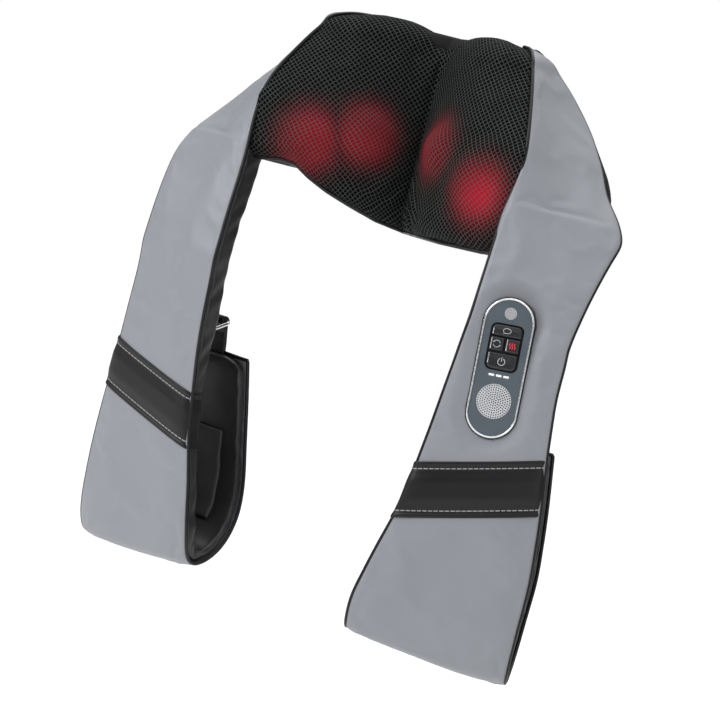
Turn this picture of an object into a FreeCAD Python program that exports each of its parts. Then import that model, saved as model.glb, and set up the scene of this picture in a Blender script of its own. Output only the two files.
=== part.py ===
import FreeCAD
import Part
import Sketcher
import math
import os

# Shiatsu neck and shoulder massager, worn hanging: a padded body behind the neck and two arms.
# Frame: X to the right, Y away from the wearer's throat side, Z up. The origin is on the neck's
# axis, level with the body's lower edge. All sizes are in millimetres.

V = FreeCAD.Vector
doc = FreeCAD.newDocument("NeckMassager")

# ---------------------------------------------------------------- driving dimensions
sheet = doc.addObject("Spreadsheet::Sheet", "Sizes")
SIZES = [
    ("body_top", 174.0, "top of the padded body"),
    ("body_low", -5.0, "lower edge of the padded body"),
    ("crease_depth", 88.0, "how far back the crease between the two lobes lies"),
    ("lobe_angle", 30.0, "each lobe faces inward by this angle"),
    ("lobe_bulge", 10.0, "how far a lobe stands proud of its chord"),
    ("mesh_half", 131.0, "half width of the mesh at its widest"),
    ("flare_half", 216.0, "half width of the body at its lower corners"),
    ("back_depth", 187.0, "depth of the back at the middle"),
    ("skin", 2.5, "cover thickness"),
    ("wheel_out", 65.5, "massage wheel's centre, sideways"),
    ("wheel_back", 50.5, "massage wheel's centre, depth"),
    ("wheel_up", 60.0, "massage wheel's centre, height"),
    ("orbit", 29.0, "head centre from the wheel's axis"),
    ("head_rad", 19.0, "massage head radius"),
    ("head_wall", 1.6, "head cap wall"),
    ("head_deep", 14.0, "head cap depth"),
    ("plate_deep", 11.3, "front of the wheel plate behind the lobe's chord"),
    ("plate_thick", 5.5, "wheel plate thickness"),
    ("rest_turn", 20.0, "the inner head stands this many degrees higher at rest"),
    ("shaft_rad", 5.0, "output shaft radius"),
    ("fit_gap", 0.05, "running clearance on a shaft, radial"),
    ("case_front", 20.0, "front of the gearcase behind the chord"),
    ("case_split", 41.0, "split between the gearcase halves"),
    ("case_back", 62.0, "back of the gearcase"),
    ("case_wall", 2.8, "gearcase wall"),
    ("case_inner", 50.0, "gearcase reach toward the middle"),
    ("case_outer", 33.0, "gearcase reach outward"),
    ("case_down", 34.0, "gearcase reach below the wheel's axis"),
    ("case_up", 69.0, "gearcase reach above the wheel's axis"),
    ("gear_teeth", 40.0, "worm gear teeth"),
    ("gear_module", 1.25, "tooth module"),
    ("gear_width", 8.0, "worm gear face width"),
    ("worm_rad", 6.0, "worm pitch radius"),
    ("worm_long", 26.0, "threaded length of the worm"),
    ("rotor_rad", 1.55, "motor shaft radius"),
    ("motor_rad", 14.5, "motor can radius"),
    ("motor_long", 42.0, "motor can length"),
    ("motor_start", 22.0, "motor face above the wheel's axis"),
    ("bridge_thick", 2.5, "chassis bridge plate"),
    ("bridge_high", 84.0, "chassis bridge height"),
    ("cell_rad", 9.2, "battery cell radius"),
    ("cell_long", 65.0, "battery cell length"),
    ("board_thick", 1.6, "circuit board thickness"),
    ("jack_rad", 5.5, "charging jack barrel radius"),
    ("jack_bore", 2.75, "charging jack bore radius"),
    ("jack_pin", 1.05, "charging jack centre contact radius"),
    ("jack_long", 12.0, "charging jack barrel length"),
    ("jack_up", 25.0, "charging jack height"),
    ("arm_out", 167.0, "arm hinge line's centre, sideways"),
    ("arm_back", 12.0, "arm hinge line's centre, depth"),
    ("arm_down", 25.0, "arm hinge line below the origin"),
    ("arm_splay", 15.0, "arms face outward by this angle"),
    ("arm_half", 12.0, "half thickness of an arm at its root"),
    ("arm_long", 326.0, "arm length below its hinge line"),
    ("lean_right", -3.3, "right arm's lean at rest, degrees"),
    ("lean_left", 2.9, "left arm's lean at rest, degrees"),
    ("band_thick", 2.2, "leather band thickness"),
    ("ring_wire", 1.6, "ring wire radius"),
    ("ring_wide", 50.0, "ring's long side between wire centres"),
    ("ring_deep", 22.0, "ring's short side between wire centres"),
    ("panel_side", -7.0, "panel centre across the arm"),
    ("panel_down", -73.0, "panel centre along the arm"),
    ("panel_tilt", 3.5, "panel leans this many degrees on the arm"),
    ("panel_long", 118.0, "panel length"),
    ("panel_rad", 21.5, "panel end radius"),
    ("panel_rise", 3.5, "panel rim stands proud of the arm"),
    ("plate_cover", 2.0, "face plate thickness"),
    ("tray_deep", 17.0, "control housing depth"),
    ("key_travel", 0.8, "button travel"),
    ("key_rise", 1.6, "button top above the face plate"),
    ("speaker_rad", 14.5, "speaker grille radius"),
    ("mic_rad", 5.0, "microphone grille radius"),
    ("stud_rad", 3.2, "press stud radius"),
]
for row, (alias, value, note) in enumerate(SIZES, start=1):
    sheet.set(f"A{row}", note)
    sheet.set(f"B{row}", str(value))
    sheet.setAlias(f"B{row}", alias)
doc.recompute()
S = {alias: float(sheet.get(alias)) for alias, value, note in SIZES}

SUBPARTS = []


def keep(obj, name, placement):
    """Names a finished sub-part and puts it in the product's frame."""
    obj.Label = name
    obj.Placement = placement
    SUBPARTS.append(obj)
    return obj


def solid_feature(shape, name, placement=None):
    """A sub-part whose free-form shape Part's own functions have made."""
    obj = doc.addObject("Part::Feature", name)
    obj.Shape = shape
    return keep(obj, name, placement or FreeCAD.Placement())


def along(axis):
    """Rotation that turns a primitive's own Z axis onto the given direction."""
    return FreeCAD.Rotation(V(0, 0, 1), V(*axis))


def cylinder(name, radius, height, at, axis=(0, 0, 1)):
    obj = doc.addObject("Part::Cylinder", name)
    obj.setExpression("Radius", radius)
    obj.setExpression("Height", height)
    obj.Placement = FreeCAD.Placement(V(*at), along(axis))
    return obj


def box(name, length, width, height, at):
    obj = doc.addObject("Part::Box", name)
    obj.setExpression("Length", length)
    obj.setExpression("Width", width)
    obj.setExpression("Height", height)
    obj.Placement = FreeCAD.Placement(V(*at), FreeCAD.Rotation())
    return obj


def cut(name, base, tool):
    obj = doc.addObject("Part::Cut", name)
    obj.Base = base
    obj.Tool = tool
    return obj


def fuse(name, pieces):
    obj = doc.addObject("Part::MultiFuse", name)
    obj.Shapes = pieces
    return obj


def group(name, pieces):
    """Identical small pieces that share one file as separate solids."""
    obj = doc.addObject("Part::Compound", name)
    obj.Links = pieces
    return obj


# ---------------------------------------------------------------- PartDesign helpers
def new_body(name):
    body = doc.addObject("PartDesign::Body", name)
    return body


def origin_part(body, role):
    """One of the body's own origin planes or axes."""
    return next(f for f in body.Origin.OriginFeatures if f.Role == role)


def new_sketch(body, name, role, offset=0.0):
    """A sketch on one of the body's own origin planes, moved along the plane's normal."""
    sketch = body.newObject("Sketcher::SketchObject", name)
    sketch.AttachmentSupport = [(origin_part(body, role), "")]
    sketch.MapMode = "FlatFace"
    sketch.AttachmentOffset = FreeCAD.Placement(V(0, 0, offset), FreeCAD.Rotation())
    return sketch


def draw_circle(sketch, x, y, radius):
    """A circle whose radius is an expression on the sheet."""
    value = sheet_value(radius)
    index = sketch.addGeometry(Part.Circle(V(x, y, 0), V(0, 0, 1), value), False)
    sketch.addConstraint(Sketcher.Constraint("DistanceX", -1, 1, index, 3, x))
    sketch.addConstraint(Sketcher.Constraint("DistanceY", -1, 1, index, 3, y))
    rule = sketch.addConstraint(Sketcher.Constraint("Radius", index, value))
    sketch.setExpression(f"Constraints[{rule}]", radius)


def draw_rect(sketch, left, low, right, high):
    """A rectangle from four expressions: its left, lower, right and upper edges."""
    x0, y0, x1, y1 = [sheet_value(e) for e in (left, low, right, high)]
    corners = [V(x0, y0, 0), V(x1, y0, 0), V(x1, y1, 0), V(x0, y1, 0)]
    first = sketch.GeometryCount
    for i in range(4):
        sketch.addGeometry(Part.LineSegment(corners[i], corners[(i + 1) % 4]), False)
    for i in range(4):
        sketch.addConstraint(Sketcher.Constraint("Coincident", first + i, 2, first + (i + 1) % 4, 1))
    for i in (0, 2):
        sketch.addConstraint(Sketcher.Constraint("Horizontal", first + i))
        sketch.addConstraint(Sketcher.Constraint("Vertical", first + i + 1))
    for kind, line, rule_text in (("DistanceX", first, left), ("DistanceY", first, low),
                                  ("DistanceX", first + 2, right), ("DistanceY", first + 2, high)):
        value = sheet_value(rule_text)
        rule = sketch.addConstraint(Sketcher.Constraint(kind, -1, 1, line, 1, value))
        sketch.setExpression(f"Constraints[{rule}]", rule_text)


def draw_loop(sketch, edges):
    """A closed run of lines and arcs, joined end to end."""
    for edge in edges:
        sketch.addGeometry(edge, False)


def sheet_value(expression):
    """The number that an expression on the sheet comes to."""
    names = {alias: S[alias] for alias in S}
    text = expression.replace("Sizes.", "")
    total = 0.0
    for term in text.replace("-", "+-").split("+"):
        term = term.strip()
        if not term:
            continue
        sign = -1.0 if term.startswith("-") else 1.0
        factors = term.lstrip("-").split("*")
        value = sign
        for factor in factors:
            factor = factor.strip()
            value *= names[factor] if factor in names else float(factor)
        total += value
    return total


def pad(body, sketch, length, backward=False):
    feature = body.newObject("PartDesign::Pad", "Pad")
    feature.Profile = sketch
    feature.setExpression("Length", length)
    feature.Reversed = backward
    return feature


def pocket(body, sketch, length, backward=False):
    feature = body.newObject("PartDesign::Pocket", "Pocket")
    feature.Profile = sketch
    feature.setExpression("Length", length)
    feature.Reversed = backward
    return feature


def line(a, b):
    return Part.LineSegment(V(a[0], a[1], 0), V(b[0], b[1], 0))


def stadium(cx, cy, half_long, radius):
    """Edges of a rounded-end slot that stands upright: two lines and two half circles."""
    top = cy + half_long - radius
    low = cy - half_long + radius
    return [
        line((cx + radius, low), (cx + radius, top)),
        Part.ArcOfCircle(Part.Circle(V(cx, top, 0), V(0, 0, 1), radius), 0, math.pi),
        line((cx - radius, top), (cx - radius, low)),
        Part.ArcOfCircle(Part.Circle(V(cx, low, 0), V(0, 0, 1), radius), math.pi, 2 * math.pi),
    ]


# ---------------------------------------------------------------- the padded body's envelope
def level_values(height):
    """The plan outline's key points at one height, right half."""
    rise = max(0.0, (height - 80.0) / (S["body_top"] - 80.0))
    flare = min(1.0, max(0.0, (height - 30.0) / (S["body_top"] - 30.0)))
    corner = (S["mesh_half"] - 36.0 * rise ** 1.3, 13.0 + 47.0 * rise ** 1.15)
    side_y = 46.0 + 30.0 * min(1.0, flare / 0.6) ** 0.9 - 12.0 * max(0.0, (flare - 0.75) / 0.25)
    edge = (S["flare_half"] - 114.0 * flare ** 1.3, side_y)
    back = S["back_depth"] - 22.0 * ((height - 85.0) / 92.0) ** 2
    return corner, edge, back


def round_over(height):
    """Extra inset near the top and the bottom, which rounds the body's rims."""
    top = max(0.0, (height - 158.0) / (S["body_top"] - 158.0))
    low = max(0.0, (12.0 - height) / (12.0 - S["body_low"]))
    return 12.0 * top ** 2 + 8.0 * low ** 2


def spline(points):
    curve = Part.BSplineCurve()
    curve.interpolate([V(*p) for p in points])
    return curve.toShape()


def plan_wire(height, inset, level):
    """The body's plan outline at one height, moved inward, drawn at the given level."""
    corner, edge, back = level_values(height)
    extra = round_over(height)
    gap = inset + extra
    crease = S["crease_depth"] + 1.15 * gap
    m = (corner[0] + 0.08 * inset - 0.3 * extra, corner[1] + gap)
    f = (edge[0] - 1.3 * inset - 0.3 * extra, edge[1] + 0.5 * inset + extra)
    fb = (edge[0] - 4.0 - 1.1 * inset - 0.3 * extra, edge[1] + 20.0 - 0.5 * gap)
    back_y = back - inset - 2.0 * extra
    chord = math.hypot(m[0], crease - m[1])
    normal = ((crease - m[1]) / chord, m[0] / chord)
    mesh = []
    for i in range(5):
        part = i / 4
        swell = S["lobe_bulge"] * math.sin(math.pi * part)
        x = m[0] * part - normal[0] * swell
        y = crease + (m[1] - crease) * part - normal[1] * swell
        mesh.append((x, y, level))
    right_mesh = spline(mesh)
    left_mesh = spline([(-x, y, z) for x, y, z in reversed(mesh)])
    shoulder = (0.56 * fb[0], fb[1] + 0.72 * (back_y - fb[1]), level)
    rear = [(fb[0], fb[1], level), shoulder, (0, back_y, level),
            (-shoulder[0], shoulder[1], level), (-fb[0], fb[1], level)]
    right = [V(m[0], m[1], level), V(f[0], f[1], level), V(fb[0], fb[1], level)]
    left = [V(-p.x, p.y, p.z) for p in right]
    edges = [right_mesh, Part.makeLine(right[0], right[1]), Part.makeLine(right[1], right[2]),
             spline(rear), Part.makeLine(left[2], left[1]), Part.makeLine(left[1], left[0]), left_mesh]
    return Part.Wire(edges)


LEVELS = [S["body_low"], 2.0, 12.0, 30.0, 55.0, 80.0, 103.0, 124.0, 142.0, 158.0, 167.0, S["body_top"]]
HINGE_Z = -S["arm_down"]
LIP = 0.6 * S["arm_half"]


def arm_frame(side, lean=0.0):
    """Origin on the arm's hinge line; X along the hinge line, Y through the arm, Z up."""
    turn = FreeCAD.Rotation(V(0, 0, 1), side * S["arm_splay"])
    tip = FreeCAD.Rotation(V(1, 0, 0), lean)
    return FreeCAD.Placement(V(side * S["arm_out"], S["arm_back"], HINGE_Z), turn.multiply(tip))


def horn(side, inset):
    """The stretch between the body's lower corner and the arm's hinge line."""
    frame = arm_frame(side)
    half = S["arm_half"] - inset
    inner = (-40.0 + inset) * side
    outer = (45.0 - inset) * side
    foot_z = LIP - (1.0 if inset else 0.0)
    foot = [frame.multVec(V(x, y, foot_z)) for x, y in
            ((inner, -half), (outer, -half), (outer, half), (inner, half))]
    head_z = 30.0
    corner, edge = level_values(head_z)[:2]
    head = [V(side * (corner[0] + 0.1 * inset), corner[1] + inset, head_z),
            V(side * (edge[0] - 1.3 * inset), edge[1] + 0.5 * inset, head_z),
            V(side * (edge[0] - 4.0 - 1.1 * inset), edge[1] + 20.0 - 0.5 * inset, head_z),
            V(side * (corner[0] - 4.0 + inset), corner[1] + 40.0 - inset, head_z)]
    wires = [Part.makePolygon(points + [points[0]]) for points in (foot, head)]
    return Part.makeLoft(wires, True, True)


def raised_edge(inset):
    """What the body leaves out at its lower left, where the lower edge climbs toward the arm."""
    climb = [(58, -9), (76, -2), (92, 8), (106, 17), (120, 22), (160, 25), (240, 26)]
    top = spline([(-x, 0, z + inset) for x, z in climb])
    outer = Part.makeLine(V(-240, 0, 26 + inset), V(-240, 0, -30))
    foot = Part.makeLine(V(-240, 0, -30), V(-58, 0, -30))
    inner = Part.makeLine(V(-58, 0, -30), V(-58, 0, -9 + inset))
    face = Part.Face(Part.Wire([top, outer, foot, inner]))
    face.translate(V(0, -60, 0))
    return face.extrude(V(0, 280, 0))


def envelope(inset):
    """The whole padded body as one closed solid, moved inward by the inset."""
    top = S["body_top"]
    low = S["body_low"]
    shrink = (top - low - 2 * inset) / (top - low)
    wires = []
    for height in LEVELS:
        level = low + inset + (height - low) * shrink
        wires.append(plan_wire(height, inset, level))
    shape = Part.makeLoft(wires, True, True)
    shape = shape.cut(raised_edge(inset))
    for side in (1, -1):
        shape = shape.fuse(horn(side, inset))
    for side in (1, -1):
        frame = arm_frame(side)
        trough = Part.makeCylinder(S["arm_half"] + 0.5, 140, V(-70, 0, 0), V(1, 0, 0))
        trough.Placement = frame
        shape = shape.cut(trough)
    return shape


def prism(points, direction, start):
    """A straight prism on a closed run of points."""
    wire = Part.makePolygon([V(*p) for p in points] + [V(*points[0])])
    face = Part.Face(wire)
    face.translate(V(*start))
    return face.extrude(V(*direction))


def mesh_region():
    """Everything in front of the body between the two inner seams."""
    heights = [-30.0] + [h for h in LEVELS if h > 20.0] + [200.0]
    right = []
    for h in heights:
        level = min(max(h, 5.0), S["body_top"])
        right.append((level_values(level)[0][0], 0, h))
    left = [(-x, y, z) for x, y, z in reversed(right)]
    return prism(right + left, (0, 172, 0), (0, -60, 0))


def front_region():
    """Everything in front of the rear seam, seen in plan."""
    rim = []
    for h in (-5.0, 30.0, 60.0, 90.0, 116.0, 140.0, 174.0):
        edge = level_values(h)[1]
        rim.append((edge[0] + (8.0 if h < 35.0 else 0.0), edge[1] + 2.0, 0))
    rim.insert(0, (260.0, rim[0][1] - 8.0, 0))
    rim.append((0, 112.0, 0))
    left = [(-x, y, z) for x, y, z in reversed(rim[:-1])]
    return prism(rim + left + [(-260.0, -80.0, 0), (260.0, -80.0, 0)], (0, 0, 300), (0, 0, -60))


def drive_frame(side):
    """Origin at the massage wheel's centre on the lobe's chord; Y goes into the body."""
    at = V(side * S["wheel_out"], S["wheel_back"], S["wheel_up"])
    return FreeCAD.Placement(at, FreeCAD.Rotation(V(0, 0, 1), -side * S["lobe_angle"]))


def cavity():
    """Room in the foam for the drives, the turning heads, the bridge, the cells and the jack."""
    gap = 0.6
    pieces = []
    for side in (1, -1):
        low_x = -(S["case_inner"] + gap) if side > 0 else -(S["case_outer"] + gap)
        wide = S["case_inner"] + S["case_outer"] + 2 * gap
        case = Part.makeBox(wide, S["case_back"] - S["case_front"] + S["bridge_thick"] + 3.4,
                            S["case_up"] + S["case_down"] + 2 * gap,
                            V(low_x, S["case_front"] - gap, -S["case_down"] - gap))
        sweep = Part.makeCylinder(S["orbit"] + S["head_rad"] + 3.0, 60, V(0, -30, 0), V(0, 1, 0))
        room = case.fuse(sweep)
        room.Placement = drive_frame(side)
        pieces.append(room)
    pieces.append(Part.makeBox(118, 50, 110, V(-59, 96, 22)))
    pieces.append(Part.makeCylinder(S["jack_rad"] + gap, 60, V(0, 140, S["jack_up"]), V(0, 1, 0)))
    shape = pieces[0]
    for piece in pieces[1:]:
        shape = shape.fuse(piece)
    return shape


def make_body_soft_parts():
    outer = envelope(0.0)
    inner = envelope(S["skin"])
    skin = outer.cut(inner)
    foam = envelope(S["skin"] + 0.1).cut(cavity())
    jack_hole = Part.makeCylinder(S["jack_rad"] + 2.8, 60, V(0, 150, S["jack_up"]), V(0, 1, 0))
    mesh_zone = mesh_region()
    front_zone = front_region()
    front_skin = skin.common(front_zone)
    solid_feature(front_skin.common(mesh_zone), "mesh_cover")
    sides = front_skin.cut(mesh_zone)
    right_half = Part.makeBox(400, 400, 400, V(0, -150, -150))
    solid_feature(sides.common(right_half), "right_side_cover")
    solid_feature(sides.cut(right_half), "left_side_cover")
    solid_feature(skin.cut(front_zone).cut(jack_hole), "back_cover")
    middle = Part.makeBox(270, 400, 400, V(-135, -100, -100))
    split = drive_frame(1).multVec(V(0, S["case_split"], 0))
    slope = math.tan(math.radians(S["lobe_angle"]))
    ridge = split.y + split.x * slope
    wedge = prism([(-200, ridge - 200 * slope, 0), (0, ridge, 0), (200, ridge - 200 * slope, 0),
                   (200, -150, 0), (-200, -150, 0)], (0, 0, 400), (0, 0, -100))
    solid_feature(foam.common(middle).common(wedge), "front_foam")
    solid_feature(foam.common(middle).cut(wedge), "rear_foam")
    solid_feature(foam.cut(middle), "side_foams")


# ---------------------------------------------------------------- drive units, one per lobe
def make_gearcase(side, word):
    frame = drive_frame(side)
    left, right = ("case_inner", "case_outer") if side > 0 else ("case_outer", "case_inner")
    walls = [f"-Sizes.{left}", "-Sizes.case_down", f"Sizes.{right}", "Sizes.case_up"]
    room = [f"-Sizes.{left}+Sizes.case_wall", "-Sizes.case_down+Sizes.case_wall",
            f"Sizes.{right}-Sizes.case_wall", "Sizes.case_up-Sizes.case_wall"]

    front = new_body(f"{word}_gearcase_front")
    outline = new_sketch(front, "Outline", "XZ_Plane", -S["case_front"])
    draw_rect(outline, *walls)
    pad(front, outline, "Sizes.case_split-Sizes.case_front", True)
    hollow = new_sketch(front, "Hollow", "XZ_Plane", -(S["case_front"] + S["case_wall"]))
    draw_rect(hollow, *room)
    pocket(front, hollow, "Sizes.case_split-Sizes.case_front", False)
    seat = new_sketch(front, "BushSeat", "XZ_Plane", -S["case_front"])
    draw_circle(seat, 0, 0, "Sizes.shaft_rad+3")
    pocket(front, seat, "Sizes.case_wall", False)
    keep(front, f"{word}_gearcase_front", frame)

    rear = new_body(f"{word}_gearcase_rear")
    outline = new_sketch(rear, "Outline", "XZ_Plane", -S["case_back"])
    draw_rect(outline, *walls)
    pad(rear, outline, "Sizes.case_back-Sizes.case_split", False)
    hollow = new_sketch(rear, "Hollow", "XZ_Plane", -S["case_split"])
    draw_rect(hollow, *room)
    pocket(rear, hollow, "Sizes.case_back-Sizes.case_split-Sizes.case_wall", False)
    keep(rear, f"{word}_gearcase_rear", frame)


def make_wheel(side, word):
    """Wheel plate with rounded ends, its shaft, its worm gear and its two heads."""
    tilt = FreeCAD.Placement(V(0, 0, 0), FreeCAD.Rotation(V(0, 1, 0), side * S["rest_turn"]))
    frame = drive_frame(side).multiply(tilt)
    plate = new_body(f"{word}_massage_wheel")
    shape = new_sketch(plate, "Plate", "XZ_Plane", -S["plate_deep"])
    reach = S["orbit"]
    end = S["head_rad"] - 2.0
    half = math.pi / 2
    draw_loop(shape, [
        line((-reach, -end), (reach, -end)),
        Part.ArcOfCircle(Part.Circle(V(reach, 0, 0), V(0, 0, 1), end), -half, half),
        line((reach, end), (-reach, end)),
        Part.ArcOfCircle(Part.Circle(V(-reach, 0, 0), V(0, 0, 1), end), half, 3 * half),
    ])
    pad(plate, shape, "Sizes.plate_thick", True)
    bore = new_sketch(plate, "ShaftBore", "XZ_Plane", -S["plate_deep"])
    draw_circle(bore, 0, 0, "Sizes.shaft_rad")
    pocket(plate, bore, "Sizes.plate_thick", False)
    keep(plate, f"{word}_massage_wheel", frame)

    start = S["plate_deep"]
    shaft_long = "Sizes.case_back-Sizes.plate_deep-Sizes.case_wall-0.3"
    shaft = cylinder(f"{word}_shaft_rod", "Sizes.shaft_rad", shaft_long, (0, start, 0), (0, 1, 0))
    keep(group(f"{word}_output_shaft", [shaft]), f"{word}_output_shaft", frame)

    for place, sign in (("inner", -side), ("outer", side)):
        name = f"{word}_{place}_head"
        centre = (sign * S["orbit"], S["plate_deep"], 0)
        head = frame.multiply(FreeCAD.Placement(V(*centre), FreeCAD.Rotation(V(1, 0, 0), 90)))
        make_head(name, head)
    boards = []
    for sign in (1, -1):
        base = (sign * S["orbit"], S["plate_deep"], 0)
        board = cylinder(f"{word}_heater_board", "Sizes.head_rad-5", "Sizes.board_thick", base, (0, -1, 0))
        lamp_at = (sign * S["orbit"], S["plate_deep"] - S["board_thick"], 0)
        lamp = cylinder(f"{word}_heater_lamp", "Sizes.head_rad-13", "Sizes.head_wall+3", lamp_at, (0, -1, 0))
        boards.append(fuse(f"{word}_heater", [board, lamp]))
    keep(group(f"{word}_heaters", boards), f"{word}_heaters", frame)


def dome_arc(half_wide, low, high, crown):
    """Quarter ellipse that stops just short of its axis, where the dome has a small flat crown."""
    ellipse = Part.Ellipse(V(0, low, 0), half_wide, high)
    return Part.ArcOfEllipse(ellipse, 0, math.acos(crown / half_wide))


def make_head(name, frame):
    """A domed cap, open underneath: a quarter ellipse turned about the head's own axis."""
    body = new_body(name)
    profile = new_sketch(body, "Dome", "XZ_Plane")
    rad = S["head_rad"]
    deep = S["head_deep"]
    wall = S["head_wall"]
    rim = 4.0
    crown = 1.5
    outer = dome_arc(rad, rim, deep - rim, crown)
    inner = dome_arc(rad - wall, rim, deep - rim - wall, crown)
    top = outer.EndPoint
    under = inner.EndPoint
    draw_loop(profile, [
        line((rad - wall, 0), (rad, 0)), line((rad, 0), (rad, rim)), outer,
        line(top, (0, top.y)), line((0, top.y), (0, under.y)), line((0, under.y), under),
        inner, line((rad - wall, rim), (rad - wall, 0)),
    ])
    turn = body.newObject("PartDesign::Revolution", "Turn")
    turn.Profile = profile
    turn.ReferenceAxis = (profile, ["V_Axis"])
    turn.Angle = 360
    keep(body, name, frame)


def make_worm_gear(side, word):
    """Spur-cut worm gear: a blank with one tooth gap cut and repeated around it."""
    body = new_body(f"{word}_worm_gear")
    module = S["gear_module"]
    teeth = int(S["gear_teeth"])
    pitch_rad = module * teeth / 2
    tip = pitch_rad + module
    root = pitch_rad - 1.25 * module
    middle = S["case_split"]
    blank = new_sketch(body, "Blank", "XZ_Plane", -(middle - S["gear_width"] / 2))
    index = blank.addGeometry(Part.Circle(V(0, 0, 0), V(0, 0, 1), tip), False)
    blank.addConstraint(Sketcher.Constraint("Coincident", index, 3, -1, 1))
    rule = blank.addConstraint(Sketcher.Constraint("Radius", index, tip))
    blank.setExpression(f"Constraints[{rule}]", "Sizes.gear_module*Sizes.gear_teeth/2+Sizes.gear_module")
    pad(body, blank, "Sizes.gear_width", True)
    bore = new_sketch(body, "Bore", "XZ_Plane", -(middle - S["gear_width"] / 2))
    draw_circle(bore, 0, 0, "Sizes.shaft_rad")
    pocket(body, bore, "Sizes.gear_width", False)
    gap = new_sketch(body, "ToothGap", "XZ_Plane", -(middle - S["gear_width"] / 2))
    half_root = 0.26 * math.pi * module
    half_tip = 0.40 * math.pi * module
    over = tip + 0.5
    points = [(root, -half_root), (over, -half_tip), (over, half_tip), (root, half_root)]
    draw_loop(gap, [line(points[i], points[(i + 1) % 4]) for i in range(4)])
    notch = pocket(body, gap, "Sizes.gear_width", False)
    doc.recompute()
    ring = body.newObject("PartDesign::PolarPattern", "Teeth")
    ring.Originals = [notch]
    ring.Axis = (origin_part(body, "Y_Axis"), [""])
    ring.Angle = 360
    ring.Occurrences = teeth
    body.Tip = ring
    keep(body, f"{word}_worm_gear", drive_frame(side))


def make_worm(side, word):
    """Single-start worm on the motor's shaft, upright, beside the worm gear."""
    module = S["gear_module"]
    pitch = math.pi * module
    centre = -side * (module * S["gear_teeth"] / 2 + S["worm_rad"])
    half = S["worm_long"] / 2
    core_rad = S["worm_rad"] - 1.2 * module
    tip_rad = S["worm_rad"] + 0.85 * module
    turns = 6
    helix = Part.makeHelix(pitch, turns * pitch, core_rad)
    base = 0.24 * pitch
    crest = 0.11 * pitch
    ridge = [V(core_rad - 0.6, 0, -base), V(tip_rad, 0, -crest), V(tip_rad, 0, crest),
             V(core_rad - 0.6, 0, base)]
    rib = Part.Wire([Part.makeLine(ridge[i], ridge[(i + 1) % 4]) for i in range(4)])
    thread = Part.Wire(helix).makePipeShell([rib], True, True)
    thread.translate(V(0, 0, -turns * pitch / 2))
    core = Part.makeCylinder(core_rad, 2 * half, V(0, 0, -half))
    journal_low = -half - 9.0
    reach = S["motor_start"] + S["motor_long"] - 6.0
    spindle = Part.makeCylinder(S["rotor_rad"], reach - journal_low, V(0, 0, journal_low))
    shape = core.fuse([thread, spindle])
    # A tooth gap of the gear faces the worm's axis, so a thread ridge fills it at rest.
    facing = FreeCAD.Rotation(V(0, 0, 1), 0.0 if side > 0 else 180.0)
    frame = drive_frame(side).multiply(FreeCAD.Placement(V(centre, S["case_split"], 0), facing))
    solid_feature(shape, f"{word}_worm", frame)


def make_motor(side, word):
    module = S["gear_module"]
    centre = -side * (module * S["gear_teeth"] / 2 + S["worm_rad"])
    at = (centre, S["case_split"], S["motor_start"])
    can = cylinder(f"{word}_motor_can", "Sizes.motor_rad", "Sizes.motor_long", at)
    bore = cylinder(f"{word}_motor_bore", "Sizes.rotor_rad+Sizes.fit_gap", "Sizes.motor_long-5", at)
    keep(cut(f"{word}_motor", can, bore), f"{word}_motor", drive_frame(side))


def make_bushes():
    """Bronze bushes: two for each output shaft and one under each worm."""
    pieces = []
    for side in (1, -1):
        frame = drive_frame(side)
        module = S["gear_module"]
        worm_x = -side * (module * S["gear_teeth"] / 2 + S["worm_rad"])
        low = -S["worm_long"] / 2 - 9.0
        wall_low = -S["case_down"] + S["case_wall"]
        rows = [
            ("Sizes.shaft_rad+3", "Sizes.shaft_rad+Sizes.fit_gap", "6", (0, S["case_front"], 0), (0, 1, 0)),
            ("Sizes.shaft_rad+3", "Sizes.shaft_rad+Sizes.fit_gap", "6",
             (0, S["case_back"] - S["case_wall"] - 6.0, 0), (0, 1, 0)),
            ("Sizes.rotor_rad+3", "Sizes.rotor_rad+Sizes.fit_gap", str(low + 7.0 - wall_low),
             (worm_x, S["case_split"], wall_low), (0, 0, 1)),
        ]
        for outer, inner, length, at, axis in rows:
            ring = cut("bush", cylinder("bush_outside", outer, length, at, axis),
                       cylinder("bush_inside", inner, length, at, axis))
            ring.Placement = frame
            pieces.append(ring)
    keep(group("shaft_bushes", pieces), "shaft_bushes", FreeCAD.Placement())


def make_case_screws():
    """Four pan-head screws close each gearcase from behind."""
    pieces = []
    for side in (1, -1):
        frame = drive_frame(side)
        low_x = -S["case_inner"] if side > 0 else -S["case_outer"]
        high_x = S["case_outer"] if side > 0 else S["case_inner"]
        for x in (low_x + 7.0, high_x - 7.0):
            for z in (-S["case_down"] + 7.0, S["case_up"] - 7.0):
                head = Part.makeCylinder(2.8, 1.8, V(x, S["case_back"], z), V(0, 1, 0))
                head.Placement = frame
                pieces.append(head)
    solid_feature(Part.makeCompound(pieces), "gearcase_screws")


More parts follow.
